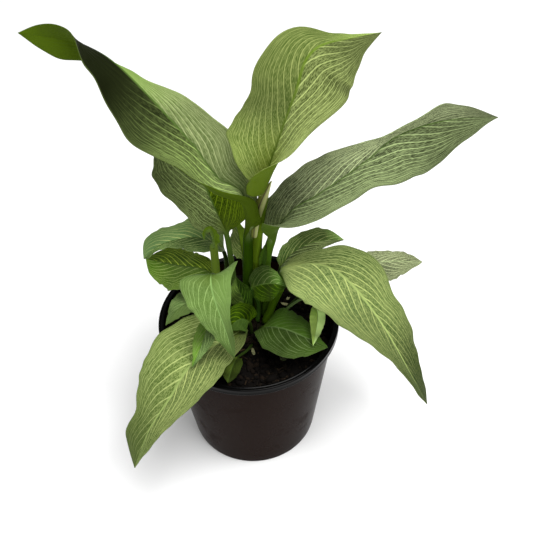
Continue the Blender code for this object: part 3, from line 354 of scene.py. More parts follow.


# Leaf colours with painted light and shade in them: a half that faces away from the light has darker greens
# than its lit half.
LOOKS = {
    "tall_left": look(
        [(0.01, 0.013, 0.004), (0.096, 0.148, 0.035)], [(0.236, 0.325, 0.094), (0.503, 0.572, 0.262)],
        shade_left=(1.035, 1.9, 0.484, 0.584, 1.9), shade_right=(1.9, 0.85, 0.98, 1.895, 1),
        tip_from=0.62, under=(0.052, 0.087, 0.003), stalk=(0.022, 0.057, 0.001),
        glow=(0.26, 0.33, 0.14), shine=0.04, glow_reach=0.14, tip=0,
    ),
    "tall_back": look(
        [(0.059, 0.105, 0.014), (0.04, 0.057, 0.011)], [(0.343, 0.398, 0.126), (0.38, 0.456, 0.155)],
        shade_left=(1.276, 1.9, 0.76, 0.672, 1.9), shade_right=(1.118, 1.9, 1.285, 0.619, 0.573),
        rib=(0.09, 0.15, 0.012), glow_reach=0.16, under=(0.096, 0.151, 0.007),
        stalk=(0.119, 0.201, 0.008), glow=(0.27, 0.33, 0.03),
    ),
    "tall_right": look(
        [(0.02, 0.024, 0.012), (0.013, 0.016, 0.007)], [(0.489, 0.575, 0.288), (0.312, 0.395, 0.174)],
        shade_left=(1.9, 0.588, 1.556, 1.397, 0.35), shade_right=(1.628, 1.158, 1.293, 0.752, 0.986),
        tip_from=0.84, under=(0.07, 0.124, 0.013), stalk=(0.073, 0.156, 0.01), glow=(0.2, 0.26, 0.09),
        glow_reach=0.08,
    ),
    "behind_left": look(
        [(0.011, 0.014, 0.005), (0.007, 0.021, 0)], [(0.267, 0.353, 0.116), (0.175, 0.273, 0.009)],
        shade_left=(0.935, 1.539, 0.695, 0.35, 1), shade_right=(1.117, 0.93, 1, 1, 1),
        stalk=(0.083, 0.154, 0.024), gap=0.08,
    ),
    "back_small": look(
        [(0.026, 0.093, 0.01), (0.208, 0.34, 0.024)], [(0.581, 0.66, 0.224), (0.299, 0.454, 0.039)],
        shade_left=(1.468, 1.28, 0.751, 0.772, 1), shade_right=(1, 1.023, 1.257, 0.76, 1),
        slot="young_leaf", gap=0.14,
    ),
    "left_level": look(
        [(0.019, 0.067, 0.01), (0.104, 0.22, 0.07)], [(0.457, 0.568, 0.193), (0.581, 0.66, 0.224)],
        shade_left=(0.612, 1.056, 0.839, 1.655, 0.847), shade_right=(0.574, 0.747, 1.435, 0.898, 0.787),
        gap=0.11, net=0.2, fine=0.05,
    ),
    "left_lower": look(
        [(0.049, 0.12, 0.005), (0.02, 0.061, 0.003)], [(0.354, 0.465, 0.119), (0.496, 0.66, 0.072)],
        shade_left=(0.961, 0.739, 0.77, 1.159, 1.9), shade_right=(0.913, 1.028, 1.035, 1.164, 0.839),
        gap=0.11, net=0.2, fine=0.05, glow=(0.06, 0.1, 0.012),
    ),
    "sprout": look(
        [(0.07, 0.12, 0.016), (0.076, 0.138, 0.006)], [(0.103, 0.163, 0.032), (0.111, 0.188, 0.012)],
        shade_left=(1, 1, 0.994, 1, 1), shade_right=(1.019, 1.122, 0.858, 0.902, 1),
        slot="young_leaf", gap=0.3, under=(0.09, 0.15, 0.02), stalk=(0.089, 0.14, 0.013),
    ),
    "front_hanging": look(
        [(0.107, 0.185, 0.041), (0.069, 0.126, 0.024)], [(0.211, 0.306, 0.1), (0.296, 0.421, 0.143)],
        shade_left=(0.89, 1.207, 0.928, 0.544, 0.592), shade_right=(0.613, 1.255, 1.059, 1.048, 0.498),
        gap=0.13, rough=0.36, rib=(0.2, 0.33, 0.1), net=0.2, fine=0.05, glow=(0.06, 0.1, 0.012),
        vein=0.45,
    ),
    "front_left": look(
        [(0.031, 0.063, 0.011), (0.049, 0.088, 0.013)], [(0.349, 0.404, 0.137), (0.333, 0.4, 0.136)],
        shade_left=(0.35, 0.878, 1.125, 0.986, 1.279), shade_right=(0.424, 1.437, 1.013, 0.693, 0.566),
        stalk=(0.06, 0.1, 0.02), gap=0.1, rib=(0.25, 0.33, 0.1),
    ),
    "left_small": look(
        [(0.086, 0.143, 0.033), (0.072, 0.143, 0.034)], [(0.158, 0.234, 0.07), (0.25, 0.334, 0.114)],
        shade_left=(1, 1, 1.152, 0.989, 0.754), shade_right=(1, 1, 1.432, 0.688, 0.979),
        slot="dark_leaf", gap=0.13, glow=(0.06, 0.1, 0.012),
    ),
    "front_folded": look(
        [(0.018, 0.056, 0.006), (0.073, 0.185, 0.009)], [(0.302, 0.433, 0.147), (0.178, 0.225, 0.076)],
        shade_left=(1, 0.577, 0.677, 1.333, 1.023), shade_right=(1, 1.089, 0.593, 1.268, 1),
        slot="young_leaf", gap=0.18,
    ),
    "right_front": look(
        [(0.02, 0.051, 0.009), (0.041, 0.081, 0.02)], [(0.327, 0.383, 0.13), (0.372, 0.431, 0.147)],
        shade_left=(0.691, 1.244, 1.169, 0.52, 0.35), shade_right=(1.708, 1.293, 0.774, 0.589, 0.35),
        slot="pale_leaf", glow=(0.4, 0.48, 0.15), stalk=(0.07, 0.147, 0.005), gap=0.085,
        rib=(0.3, 0.38, 0.12),
    ),
    "right_dark": look(
        [(0.026, 0.087, 0.013), (0.02, 0.026, 0.01)], [(0.581, 0.66, 0.224), (0.491, 0.637, 0.216)],
        shade_left=(1.9, 1.106, 0.35, 0.35, 1.9), shade_right=(1.01, 0.989, 0.673, 1.091, 1.023),
        slot="dark_leaf", gap=0.13, net=0.2, fine=0.05,
    ),
    "far_right": look(
        [(0.024, 0.029, 0.015), (0.026, 0.036, 0.016)], [(0.581, 0.66, 0.33), (0.581, 0.66, 0.33)],
        shade_left=(1, 0.739, 0.972, 0.964, 1.29), shade_right=(1, 1, 0.76, 0.962, 1.718),
        slot="young_leaf", gap=0.12, rib=(0.35, 0.43, 0.2),
    ),
    "in_pot_right": look(
        [(0.036, 0.084, 0.006), (0.017, 0.039, 0.002)], [(0.088, 0.147, 0.037), (0.113, 0.165, 0.056)],
        shade_left=(1.127, 1.247, 0.696, 1.271, 1.354), shade_right=(0.865, 1.275, 0.638, 1.154, 1.9),
        slot="dark_leaf", gap=0.12, rib=(0.1, 0.16, 0.05), net=0.2, fine=0.05, glow=(0.06, 0.1, 0.012),
    ),
    "narrow_right": look(
        [(0.344, 0.527, 0.163), (0.236, 0.364, 0.068)], [(0.481, 0.633, 0.213), (0.33, 0.458, 0.111)],
        shade_left=(1, 1.9, 1.089, 0.35, 1), shade_right=(1, 1.9, 0.696, 0.398, 1),
        slot="young_leaf", gap=0.14, stalk=(0.16, 0.25, 0.08),
    ),
    "centre_right": look(
        [(0.028, 0.083, 0.004), (0.011, 0.035, 0)], [(0.237, 0.318, 0.105), (0.092, 0.173, 0.008)],
        shade_left=(0.473, 0.35, 0.497, 1.9, 1), shade_right=(0.636, 0.832, 0.35, 1.32, 1.023),
        slot="dark_leaf", gap=0.17, stalk=(0.064, 0.155, 0.019), net=0.2, fine=0.05,
        glow=(0.06, 0.1, 0.012),
    ),
    "centre_front": look(
        [(0.036, 0.068, 0.011), (0.005, 0.019, 0.001)], [(0.169, 0.267, 0.042), (0.095, 0.188, 0.019)],
        shade_left=(1, 1.058, 0.503, 1.606, 1), shade_right=(1, 1.54, 0.974, 0.732, 0.989),
        slot="dark_leaf", gap=0.17, net=0.2, fine=0.05, glow=(0.06, 0.1, 0.012),
    ),
    "centre_curled": look(
        [(0.037, 0.077, 0.01), (0.004, 0.019, 0)], [(0.066, 0.115, 0.021), (0.096, 0.172, 0.003)],
        shade_left=(1.023, 1.33, 0.817, 0.891, 1), shade_right=(1.52, 0.454, 1.311, 1.048, 1),
        gap=0.17, net=0.2, fine=0.05, glow=(0.06, 0.1, 0.012),
    ),
    "tiny_round": look(
        [(0.014, 0.023, 0.004), (0.032, 0.052, 0.008)], [(0.025, 0.039, 0.004), (0.055, 0.083, 0.009)],
        shade_left=(1, 1.332, 1.437, 0.624, 0.961), shade_right=(1, 1.023, 1.672, 0.542, 1),
        slot="dark_leaf", gap=0.2,
    ),
    "new_shoot": look(
        [(0.043, 0.096, 0.006), (0.029, 0.068, 0.006)], [(0.072, 0.144, 0.012), (0.048, 0.103, 0.012)],
        shade_left=(1, 1, 0.981, 1, 1), shade_right=(1, 1, 0.977, 1, 1),
        slot="young_leaf", gap=0.3, stalk=(0.05, 0.1, 0.01),
    ),
}

STALK_STEP = 0.003
STALK_FOOT = 1.1
STALK_TAPER = 0.22
STALK_FLARE = 0.25
STALK_FLARE_REACH = 0.06
CHANNEL_DEPTH = 0.22
CHANNEL_WIDTH = 0.35
BLADE_STEP = 0.0014
COLUMN_STEP = 0.0007
FEWEST_COLUMNS = 14
BLEND_START = -0.03
BLEND_END = 0.10
INWARD_SHARE = 0.08
LOBE_REACH = 0.12
LOBE_CURVE = 1.5
WAVE_FADE_AT_BASE = 8
WAVE_FADE_AT_TIP = 4
SPAN_POINTS = 48
FACE_SAMPLES = 161
FACE_BLUR = 0.035
SWEEP_REACH = 0.93
HAND_SHIFT = 0.37
NO_CURL = (0, 0)
EDGE_WOBBLE = 0.02
FRILL_HEIGHT = 0.5
FRILL_COUNT = 6.5
MIDDLE_THICKNESS = 0.62
EDGE_THINNING = 0.27
GROOVE_WIDTH = 0.0011
RIB_WIDTH = 0.0012
LEAST_CUP = 0.0001
TURN_BLUR = 0.1
TURN_WEIGHTS = ((0.4, 1.0), (0.9, 0.6), (1.6, 0.3))


class LilyPot(bpy.types.PropertyGroup):
    """Sizes and colour of the pot."""

    rim_radius: FloatProperty(
        name="Rim radius", description="Outer radius of the lip", default=RIM_RADIUS, unit="LENGTH"
    )
    base_radius: FloatProperty(
        name="Base radius", description="Outer radius of the foot ring", default=0.039, unit="LENGTH"
    )
    height: FloatProperty(
        name="Height", description="From the resting face to the rim", default=RIM_HEIGHT, unit="LENGTH"
    )
    wall: FloatProperty(
        name="Wall", description="Thickness of the moulded wall", default=0.0011, unit="LENGTH"
    )
    lip_width: FloatProperty(
        name="Lip width", description="How far the lip stands out from the wall", default=0.002,
        unit="LENGTH",
    )
    lip_depth: FloatProperty(
        name="Lip depth", description="Height of the lip's outer band", default=0.0046, unit="LENGTH"
    )
    drain_radius: FloatProperty(
        name="Drain hole radius", description="Radius of each drain hole", default=0.0042, unit="LENGTH"
    )
    drain_count: IntProperty(
        name="Drain holes", description="Number of drain holes in the base", default=6, min=0
    )
    # The brown-black default is black plastic with a painted warm reflection in its colour.
    plastic: FloatVectorProperty(
        name="Plastic", description="Colour of the moulded plastic", default=(0.009, 0.0036, 0.002),
        subtype="COLOR", min=0, max=1,
    )
    scuff: FloatVectorProperty(
        name="Scuffs", description="Colour of dust and rubbed marks", default=(0.16, 0.14, 0.13),
        subtype="COLOR", min=0, max=1,
    )


class LilyBed(bpy.types.PropertyGroup):
    """Sizes and colours of the soil and its litter."""

    crumbs: IntProperty(
        name="Crumbs", description="Number of loose crumbs on the soil", default=1500, min=0
    )
    crumb_size: FloatProperty(
        name="Crumb size", description="Radius of a middling crumb", default=0.0011, unit="LENGTH"
    )
    fibres: IntProperty(
        name="Fibres", description="Number of bark and root fibres on the soil", default=110, min=0
    )
    soil: FloatVectorProperty(
        name="Soil", description="Colour of the damp potting mix", default=(0.0032, 0.0025, 0.002),
        subtype="COLOR", min=0, max=1,
    )
    bark: FloatVectorProperty(
        name="Bark", description="Colour of dry bark and husks", default=(0.09, 0.055, 0.028),
        subtype="COLOR", min=0, max=1,
    )


class LilyLeaves(bpy.types.PropertyGroup):
    """Sizes shared by all the leaves."""

    thickness: FloatProperty(
        name="Thickness", description="Thickness of a blade", default=0.00055, unit="LENGTH"
    )
    rib_depth: FloatProperty(
        name="Rib depth", description="How far the midrib stands out below", default=0.0006, unit="LENGTH"
    )
    groove_depth: FloatProperty(
        name="Groove depth", description="How deep the midrib's groove is above", default=0.0004,
        unit="LENGTH",
    )
    relief: FloatProperty(
        name="Vein relief", description="Height of the swell between two veins", default=0.00014,
        unit="LENGTH",
    )


class LilyStage(bpy.types.PropertyGroup):
    """The floor and the studio light."""

    floor: FloatVectorProperty(
        name="Floor", description="Colour of the floor", default=(0.9, 0.9, 0.9),
        subtype="COLOR", min=0, max=1,
    )
    sky: FloatProperty(
        name="Surround", description="Strength of the even light all round", default=0.5, min=0
    )
    key: FloatProperty(
        name="Key light", description="Strength of the large soft light above", default=22, min=0,
        unit="POWER",
    )
    fill: FloatProperty(
        name="Fill light", description="Strength of the light from the side", default=2, min=0, unit="POWER"
    )


# ---------------------------------------------------------------------------------------------
# Meshes


def new_piece(name, shape, materials, slot, *nodes):
    """Turn a bmesh into a smooth object that rides with the plant and stands for its solids."""
    mesh = bpy.data.meshes.new(name)
    shape.to_mesh(mesh)
    shape.free()
    mesh.shade_smooth()
    piece = bpy.data.objects.new(name, mesh)
    bpy.context.scene.collection.objects.link(piece)
    for material in materials:
        mesh.materials.append(material)
    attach(piece, "root")
    if nodes:
        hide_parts(*nodes)
    return piece


def unit(vector):
    """The vector at length one."""
    return vector / np.linalg.norm(vector)


def smoothstep(low, high, value):
    """Ease from 0 at low to 1 at high."""
    share = np.clip((np.asarray(value, float) - low) / (high - low), 0, 1)
    return share * share * (3 - 2 * share)


def spline(points):
    """A smooth centripetal Catmull-Rom curve through the points."""
    points = np.array(points, float)
    chain = np.vstack([2 * points[0] - points[1], points, 2 * points[-1] - points[-2]])
    curve = []
    for corners in zip(chain, chain[1:], chain[2:], chain[3:]):
        steps = [math.sqrt(np.linalg.norm(q - p)) for p, q in zip(corners, corners[1:])]
        knots = np.cumsum([0] + steps)
        places = np.linspace(knots[1], knots[2], SPAN_POINTS, endpoint=False)[:, None]
        curve.append(spline_span(corners, knots, places))
    curve.append(points[-1:])
    return np.vstack(curve)


def spline_span(corners, knots, places):
    """One span of a Catmull-Rom curve, by its pyramid of blends."""
    level = [(p, k, k) for p, k in zip(corners, knots)]
    while len(level) > 1:
        level = [
            (((e - places) * p + (places - s) * q) / (e - s), s, e)
            for (p, s, _), (q, _, e) in zip(level, level[1:])
        ]
    return level[0][0]


def along(curve):
    """Running length at each point of a curve."""
    steps = np.linalg.norm(np.diff(curve, axis=0), axis=1)
    return np.concatenate([[0], np.cumsum(steps)])


def sample(curve, lengths, places):
    """Points of a curve at running lengths."""
    return np.stack([np.interp(places, lengths, curve[:, k]) for k in range(3)], axis=1)


def spline_values(values, shares):
    """Read a list of evenly spaced values as a smooth curve."""
    values = np.array(values, float)
    spans = len(values) - 1
    chain = np.concatenate([[2 * values[0] - values[1]], values, [2 * values[-1] - values[-2]]])
    places = np.clip(np.asarray(shares, float), 0, 1) * spans
    first = np.minimum(places.astype(int), spans - 1)
    t = places - first
    a, b, c, d = (chain[first + k] for k in range(4))
    curve = 2 * b + (c - a) * t + (2 * a - 5 * b + 4 * c - d) * t**2 + (3 * b - a - 3 * c + d) * t**3
    return curve / 2


def plant_point(point):
    """A charted point in metres, spread with the rim and lifted to its height."""
    spread = MM * RIM_RADIUS / CHART_RIM_RADIUS
    return np.array([point[0] * spread, point[1] * spread, point[2] * MM + RIM_HEIGHT])


def foot_point(x, y):
    """Where a stalk stands, from its charted place: on the crown's top, or on the soil beyond it."""
    charted = math.hypot(x, y) * MM
    beyond = charted - CHART_CROWN_RADIUS
    if beyond < 0:
        share = CROWN_HIGH.x / CHART_CROWN_RADIUS
        height = CROWN_HIGH.z - GAP
    else:
        stretch = (BED_RADIUS - CROWN_HIGH.x) / (CHART_BED_RADIUS - CHART_CROWN_RADIUS)
        share = (CROWN_HIGH.x + beyond * stretch) / charted
        height = SOIL_HIGH.z - GAP
    return np.array([x * MM * share, y * MM * share, height])


# ---------------------------------------------------------------------------------------------
# Leaves


def facing(leaf, shares):
    """The way the upper side looks at shares of the blade's length, eased from one entry to the next."""
    fine = np.linspace(-1, 2, 3 * FACE_SAMPLES)
    knots = [share for share, _ in leaf["face"]]
    ways = np.array([way for _, way in leaf["face"]], float)
    ways /= np.linalg.norm(ways, axis=1)[:, None]
    reach = int(FACE_BLUR * FACE_SAMPLES) * 3
    kernel = np.exp(-0.5 * (np.arange(-reach, reach + 1) / (FACE_BLUR * FACE_SAMPLES)) ** 2)
    kernel /= kernel.sum()
    eased = [np.convolve(np.interp(fine, knots, ways[:, k]), kernel, "same") for k in range(3)]
    return np.stack([np.interp(shares, fine, line) for line in eased], axis=1)


def leaf_path(leaf):
    """The curve of a leaf from its foot to its tip, its running length, and where the blade begins."""
    foot = foot_point(*leaf["foot"])
    chart = [plant_point(point) for point in leaf["stalk"] + leaf["rib"]]
    curve = spline([foot] + chart)
    lengths = along(curve)
    return curve, lengths, lengths[SPAN_POINTS * (1 + len(leaf["stalk"]))]


def leaf_shares(stalk_length, blade_length):
    """Shares of the blade's length where the rows stand, below 0 on the stalk."""
    low = -stalk_length / blade_length
    stalk = np.linspace(low, BLEND_START, max(4, round(stalk_length / STALK_STEP)))
    count = max(24, round(blade_length / BLADE_STEP))
    blade = np.linspace(BLEND_START, 1, count)[1:]
    return np.concatenate([stalk, blade])


def leaf_frames(leaf, curve, lengths, base_length, shares):
    """Middle, forward, up and side vectors of a leaf's rows."""
    blade_length = lengths[-1] - base_length
    places = base_length + shares * blade_length
    reach = TURN_BLUR * blade_length * smoothstep(BLEND_START, BLEND_END, shares) + MM
    forward = sum(
        weight * (sample(curve, lengths, places + k * reach) - sample(curve, lengths, places - k * reach))
        for k, weight in TURN_WEIGHTS
    )
    forward /= np.linalg.norm(forward, axis=1)[:, None]
    forward[0] = UP
    inward = unit((curve[0] - curve[-1]) * (1, 1, 0))
    face = facing(leaf, shares) + INWARD_SHARE * inward
    normal = face - forward * (face * forward).sum(axis=1)[:, None]
    normal /= np.linalg.norm(normal, axis=1)[:, None]
    return sample(curve, lengths, places), forward, normal, np.cross(forward, normal)


def vein_phase(leaf, across, shares):
    """Count of veins at a place: whole numbers lie on a vein, halfway between lies the swell."""
    colours = LOOKS[leaf["look"]]
    lag = colours["sweep"] * np.log(1 - SWEEP_REACH * np.abs(across))
    count = (shares + lag) / colours["gap"]
    return count + HAND_SHIFT * (across > 0)


def blade_points(leaf, sizes, across, shares):
    """Upper and lower (side, up, back) points of the blade on a grid of rows and columns."""
    hand = np.where(across < 0, -1, 1)[None, :]
    out = np.abs(across)[None, :]
    t = shares[:, None]
    width, rise = (np.where(hand < 0, a, b) for a, b in zip(half(leaf["left"], t), half(leaf["right"], t)))
    swing, count, phase = leaf["wave"]
    width = width * MM * (1 + edge_wobble(leaf, hand, t))
    rise = np.radians(rise)
    curls = [spline_values(leaf.get(key, NO_CURL), t) for key in ("curl_left", "curl_right")]
    cup = np.radians(leaf["cup"] + np.where(hand < 0, *curls))
    cup = np.where(np.abs(cup) < LEAST_CUP, LEAST_CUP, cup)
    slope = rise + cup * out
    aside = width * (np.sin(slope) - np.sin(rise)) / cup
    height = width * (np.cos(rise) - np.cos(slope)) / cup
    fade = np.clip(np.minimum(WAVE_FADE_AT_TIP * (1 - t), WAVE_FADE_AT_BASE * t), 0, 1)
    height = height + swing * MM * fade * np.sin(math.tau * (count * t + phase) + hand) * out**2
    height = height + FRILL_HEIGHT * MM * fade * frill_wave(phase, hand, t) * out**4
    height = height + sizes.relief * swell_between(leaf, across, shares, width * out)
    thick = sizes.thickness * (MIDDLE_THICKNESS - EDGE_THINNING * out**2)
    lean = thick * np.sin(slope)
    lift = thick * np.cos(slope)
    groove = sizes.groove_depth * np.exp(-((aside / GROOVE_WIDTH) ** 2)) * (1 - t)
    rib = sizes.rib_depth * np.exp(-((aside / RIB_WIDTH) ** 2)) * (1 - 0.8 * t)
    back = np.where(hand < 0, *leaf["lobe"]) * MM * out**LOBE_CURVE * np.exp(-np.maximum(t, 0) / LOBE_REACH)
    upper = np.stack([hand * (aside - lean), height + lift - groove, back], axis=2)
    lower = np.stack([hand * (aside + lean), height - lift - rib, back], axis=2)
    return upper, lower


def half(pairs, t):
    """Half width, never below 0, and rise, never below -90 degrees, at shares of the length."""
    return [np.maximum(spline_values([pair[k] for pair in pairs], t), -90 * k) for k in range(2)]


def edge_wobble(leaf, hand, t):
    """Small uneven swells of a half's width."""
    seed = sum(leaf["foot"]) + hand
    swell = np.sin(math.tau * (4.3 * t) + 3.1 * seed) + 0.6 * np.sin(math.tau * (9.1 * t) + 5.7 * seed)
    return EDGE_WOBBLE * swell * np.clip(6 * t, 0, 1)


def frill_wave(phase, hand, t):
    """Fine waves along the margin."""
    first = np.sin(math.tau * (FRILL_COUNT * t + phase) + 2 * hand)
    second = np.sin(math.tau * (1.7 * FRILL_COUNT * t + 2 * phase) - hand)
    return first + 0.5 * second


def swell_between(leaf, across, shares, reach):
    """Swells between the veins, fading at the margin, the tip, the base and the midrib."""
    phase = vein_phase(leaf, across[None, :], shares[:, None])
    t = shares[:, None]
    out = np.abs(across)[None, :]
    fade = smoothstep(0, 0.12, t) * (1 - smoothstep(0.8, 0.97, t)) * (1 - smoothstep(0.8, 0.97, out))
    fade = fade * smoothstep(0.0008, 0.003, reach)
    return -np.cos(math.tau * phase) * fade


def stalk_points(leaf, across, shares, low):
    """Upper and lower points round the stalk, wider where it clasps the crown."""
    climb = np.clip((shares - low) / -low, 0, 1)[:, None]
    flare = STALK_FLARE * np.exp(-climb / STALK_FLARE_REACH)
    radius = leaf["stalk_radius"] * MM * (STALK_FOOT - STALK_TAPER * climb + flare)
    turn = (math.pi / 2) * (1 - across[None, :] * 0.985)
    channel = 1 - CHANNEL_DEPTH * np.exp(-((across[None, :] / CHANNEL_WIDTH) ** 2)) * climb
    zero = 0 * turn * radius
    upper = np.stack([radius * np.cos(turn), radius * channel * np.sin(turn), zero], axis=2)
    lower = np.stack([radius * np.cos(turn), -radius * np.sin(turn), zero], axis=2)
    return upper, lower


def leaf_columns(leaf):
    """Places across a blade, from its left margin at -1 to its right margin at 1."""
    widest = max(pair[0] for pair in leaf["left"] + leaf["right"]) * MM
    count = max(FEWEST_COLUMNS, 2 * round(widest / COLUMN_STEP))
    return np.linspace(-1, 1, count + 1)


def make_leaf(leaf, sizes):
    """Roll a grid into a tube and lay it along the leaf's curve as stalk and blade."""
    curve, lengths, base_length = leaf_path(leaf)
    shares = leaf_shares(base_length, lengths[-1] - base_length)
    across = leaf_columns(leaf)
    middle, forward, normal, side = leaf_frames(leaf, curve, lengths, base_length, shares)
    blend = smoothstep(BLEND_START, BLEND_END, shares)[:, None, None]
    blade = blade_points(leaf, sizes, across, shares)
    stalk = stalk_points(leaf, across, shares, shares[0])
    upper, lower = (blend * flat + (1 - blend) * tube for flat, tube in zip(blade, stalk))
    ring = np.concatenate([upper, lower[:, ::-1], upper[:, :1]], axis=1)
    place = (
        middle[:, None]
        + ring[:, :, :1] * side[:, None]
        + ring[:, :, 1:2] * normal[:, None]
        - ring[:, :, 2:] * forward[:, None]
    )
    columns = np.concatenate([across, across[::-1], across[:1]])
    sides = np.concatenate([0 * across + 1, 0 * across, [1]])
    shape = rolled_grid(place, columns, shares, sides)
    skin = leaf_material(leaf["look"])
    return new_piece(leaf["name"] + "_blade", shape, [skin], LOOKS[leaf["look"]]["slot"], leaf["name"])


def rolled_grid(place, columns, shares, sides):
    """A grid whose vertices take the given places, with its seam, foot and tip closed."""
    rows, count = place.shape[:2]
    shape = bmesh.new()
    bmesh.ops.create_grid(shape, x_segments=count - 1, y_segments=rows - 1, size=1)
    memory = shape.verts.layers.float_vector.new("leaf_place")
    for vertex in shape.verts:
        column = round((vertex.co.x + 1) / 2 * (count - 1))
        row = round((vertex.co.y + 1) / 2 * (rows - 1))
        vertex.co = place[row, column]
        vertex[memory] = (columns[column], shares[row], sides[column])
    bmesh.ops.remove_doubles(shape, verts=shape.verts, dist=0.000002)
    rims = [edge for edge in shape.edges if edge.is_boundary]
    bmesh.ops.holes_fill(shape, edges=rims, sides=0)
    bmesh.ops.recalc_face_normals(shape, faces=shape.faces)
    return shape


# ---------------------------------------------------------------------------------------------
# Materials

LEAF_SHEEN = (0.75, 1.0, 0.3)
VEIN_WANDER = 0.24
NET_CELLS = (4.6, 34.0)
WALL_SHEEN = (0.9, 0.5, 0.36)
LIP_SHEEN = (0.9, 0.884, 0.864)
LIP_COLOUR = (0.0012, 0.0012, 0.0012)


def wire(tree, socket, value):
    """Give an input a value, or run a link to it."""
    if isinstance(value, bpy.types.NodeSocket):
        tree.links.new(value, socket)
    elif isinstance(value, tuple) and len(value) == 3 and len(socket.default_value) == 4:
        socket.default_value = (*value, 1)
    else:
        socket.default_value = value


def add(tree, kind, inputs=(), output=0, **settings):
    """Add a node, set it up, feed its inputs by name or place, and return one of its outputs."""
    node = tree.nodes.new(kind)
    for name, value in settings.items():
        setattr(node, name, value)
    pairs = inputs.items() if isinstance(inputs, dict) else enumerate(inputs)
    for key, value in pairs:
        wire(tree, node.inputs[key], value)
    return node.outputs[output]


def maths(tree, operation, *values):
    """A Math node."""
    return add(tree, "ShaderNodeMath", values, operation=operation)


def ramp(tree, value, low, high, start=0.0, end=1.0):
    """Ease a value from start to end as it goes from low to high."""
    return add(tree, "ShaderNodeMapRange", (value, low, high, start, end), interpolation_type="SMOOTHSTEP")


def mix(tree, share, first, second, blend="MIX"):
    """Mix two colours."""
    feeds = {0: share, 6: first, 7: second}
    return add(tree, "ShaderNodeMix", feeds, output=2, data_type="RGBA", blend_type=blend)


def noise_of(tree, place, scale, detail=2.0, roughness=0.5):
    """A noise value from 0 to 1."""
    feeds = {"Vector": place, "Scale": scale, "Detail": detail, "Roughness": roughness}
    return add(tree, "ShaderNodeTexNoise", feeds)


def join(tree, x, y, z=0.0):
    """A vector from its three parts."""
    return add(tree, "ShaderNodeCombineXYZ", (x, y, z))


def new_group(name, vectors, values, results):
    """A shader node group with its sockets, and the node that gives its inputs."""
    tree = bpy.data.node_groups.new(name, "ShaderNodeTree")
    for label in vectors:
        tree.interface.new_socket(label, in_out="INPUT", socket_type="NodeSocketVector")
    for label in values:
        tree.interface.new_socket(label, in_out="INPUT", socket_type="NodeSocketFloat")
    for label in results:
        tree.interface.new_socket(label, in_out="OUTPUT", socket_type="NodeSocketFloat")
    return tree, tree.nodes.new("NodeGroupInput").outputs


def end_group(tree, *values):
    """Run the values to a group's outputs, in order."""
    result = tree.nodes.new("NodeGroupOutput")
    for socket, value in zip(result.inputs, values):
        tree.links.new(value, socket)
    return tree


def use_group(tree, name, build, **feeds):
    """Place a node group, built the first time, and return its outputs."""
    node = tree.nodes.new("ShaderNodeGroup")
    node.node_tree = bpy.data.node_groups.get(name) or build(name)
    for label, value in feeds.items():
        wire(tree, node.inputs[label], value)
    return node.outputs


def parts_of(tree, place):
    """The three parts of a vector."""
    split = tree.nodes.new("ShaderNodeSeparateXYZ")
    tree.links.new(place, split.inputs[0])
    return split.outputs


def new_material(name):
    """A material with its Principled shader."""
    material = bpy.data.materials.new(name)
    material.use_nodes = True
    tree = material.node_tree
    return material, tree, tree.nodes["Principled BSDF"]


def add_bump(tree, shader, height, strength, distance):
    """Let a height raise the surface a little."""
    feeds = {"Strength": strength, "Distance": distance, "Height": height}
    wire(tree, shader.inputs["Normal"], add(tree, "ShaderNodeBump", feeds))


def vein_group(name):
    """Veins sweeping from the midrib to the margin, finer ones between them, and the net they enclose."""
    results = ("Vein", "Fine", "Net", "Patch", "Out")
    tree, entry = new_group(name, ("Place",), ("Gap", "Sweep"), results)
    across, share, _ = parts_of(tree, entry["Place"])
    out = maths(tree, "ABSOLUTE", across)
    room = maths(tree, "MULTIPLY_ADD", out, -SWEEP_REACH, 1.0)
    lag = maths(tree, "MULTIPLY", maths(tree, "LOGARITHM", room, math.e), entry["Sweep"])
    count = maths(tree, "DIVIDE", maths(tree, "ADD", share, lag), entry["Gap"])
    hand = maths(tree, "GREATER_THAN", across, 0.0)
    phase = maths(tree, "MULTIPLY_ADD", hand, HAND_SHIFT, count)
    drift = noise_of(tree, join(tree, across, maths(tree, "MULTIPLY", share, 5.0), hand), 1.6, 2.0)
    bent = maths(tree, "ADD", phase, maths(tree, "MULTIPLY_ADD", drift, VEIN_WANDER, -VEIN_WANDER / 2))
    vein = ramp(tree, maths(tree, "PINGPONG", bent, 0.5), 0.015, 0.11, 1.0, 0.0)
    thirds = maths(tree, "PINGPONG", maths(tree, "MULTIPLY", bent, 3.0), 0.5)
    fine = ramp(tree, thirds, 0.02, 0.25, 1.0, 0.0)
    along_cell = maths(tree, "MULTIPLY", bent, NET_CELLS[0])
    cell = join(tree, along_cell, maths(tree, "MULTIPLY", out, NET_CELLS[1]), hand)
    edges = add(
        tree, "ShaderNodeTexVoronoi", {"Vector": cell, "Scale": 1.0}, feature="DISTANCE_TO_EDGE"
    )
    net = ramp(tree, edges, 0.03, 0.24, 1.0, 0.0)
    blotch = join(tree, maths(tree, "MULTIPLY", bent, 0.35), maths(tree, "MULTIPLY", across, 2.0))
    patch = noise_of(tree, blotch, 2.2, 3.0, 0.6)
    return end_group(tree, vein, fine, net, patch, out)


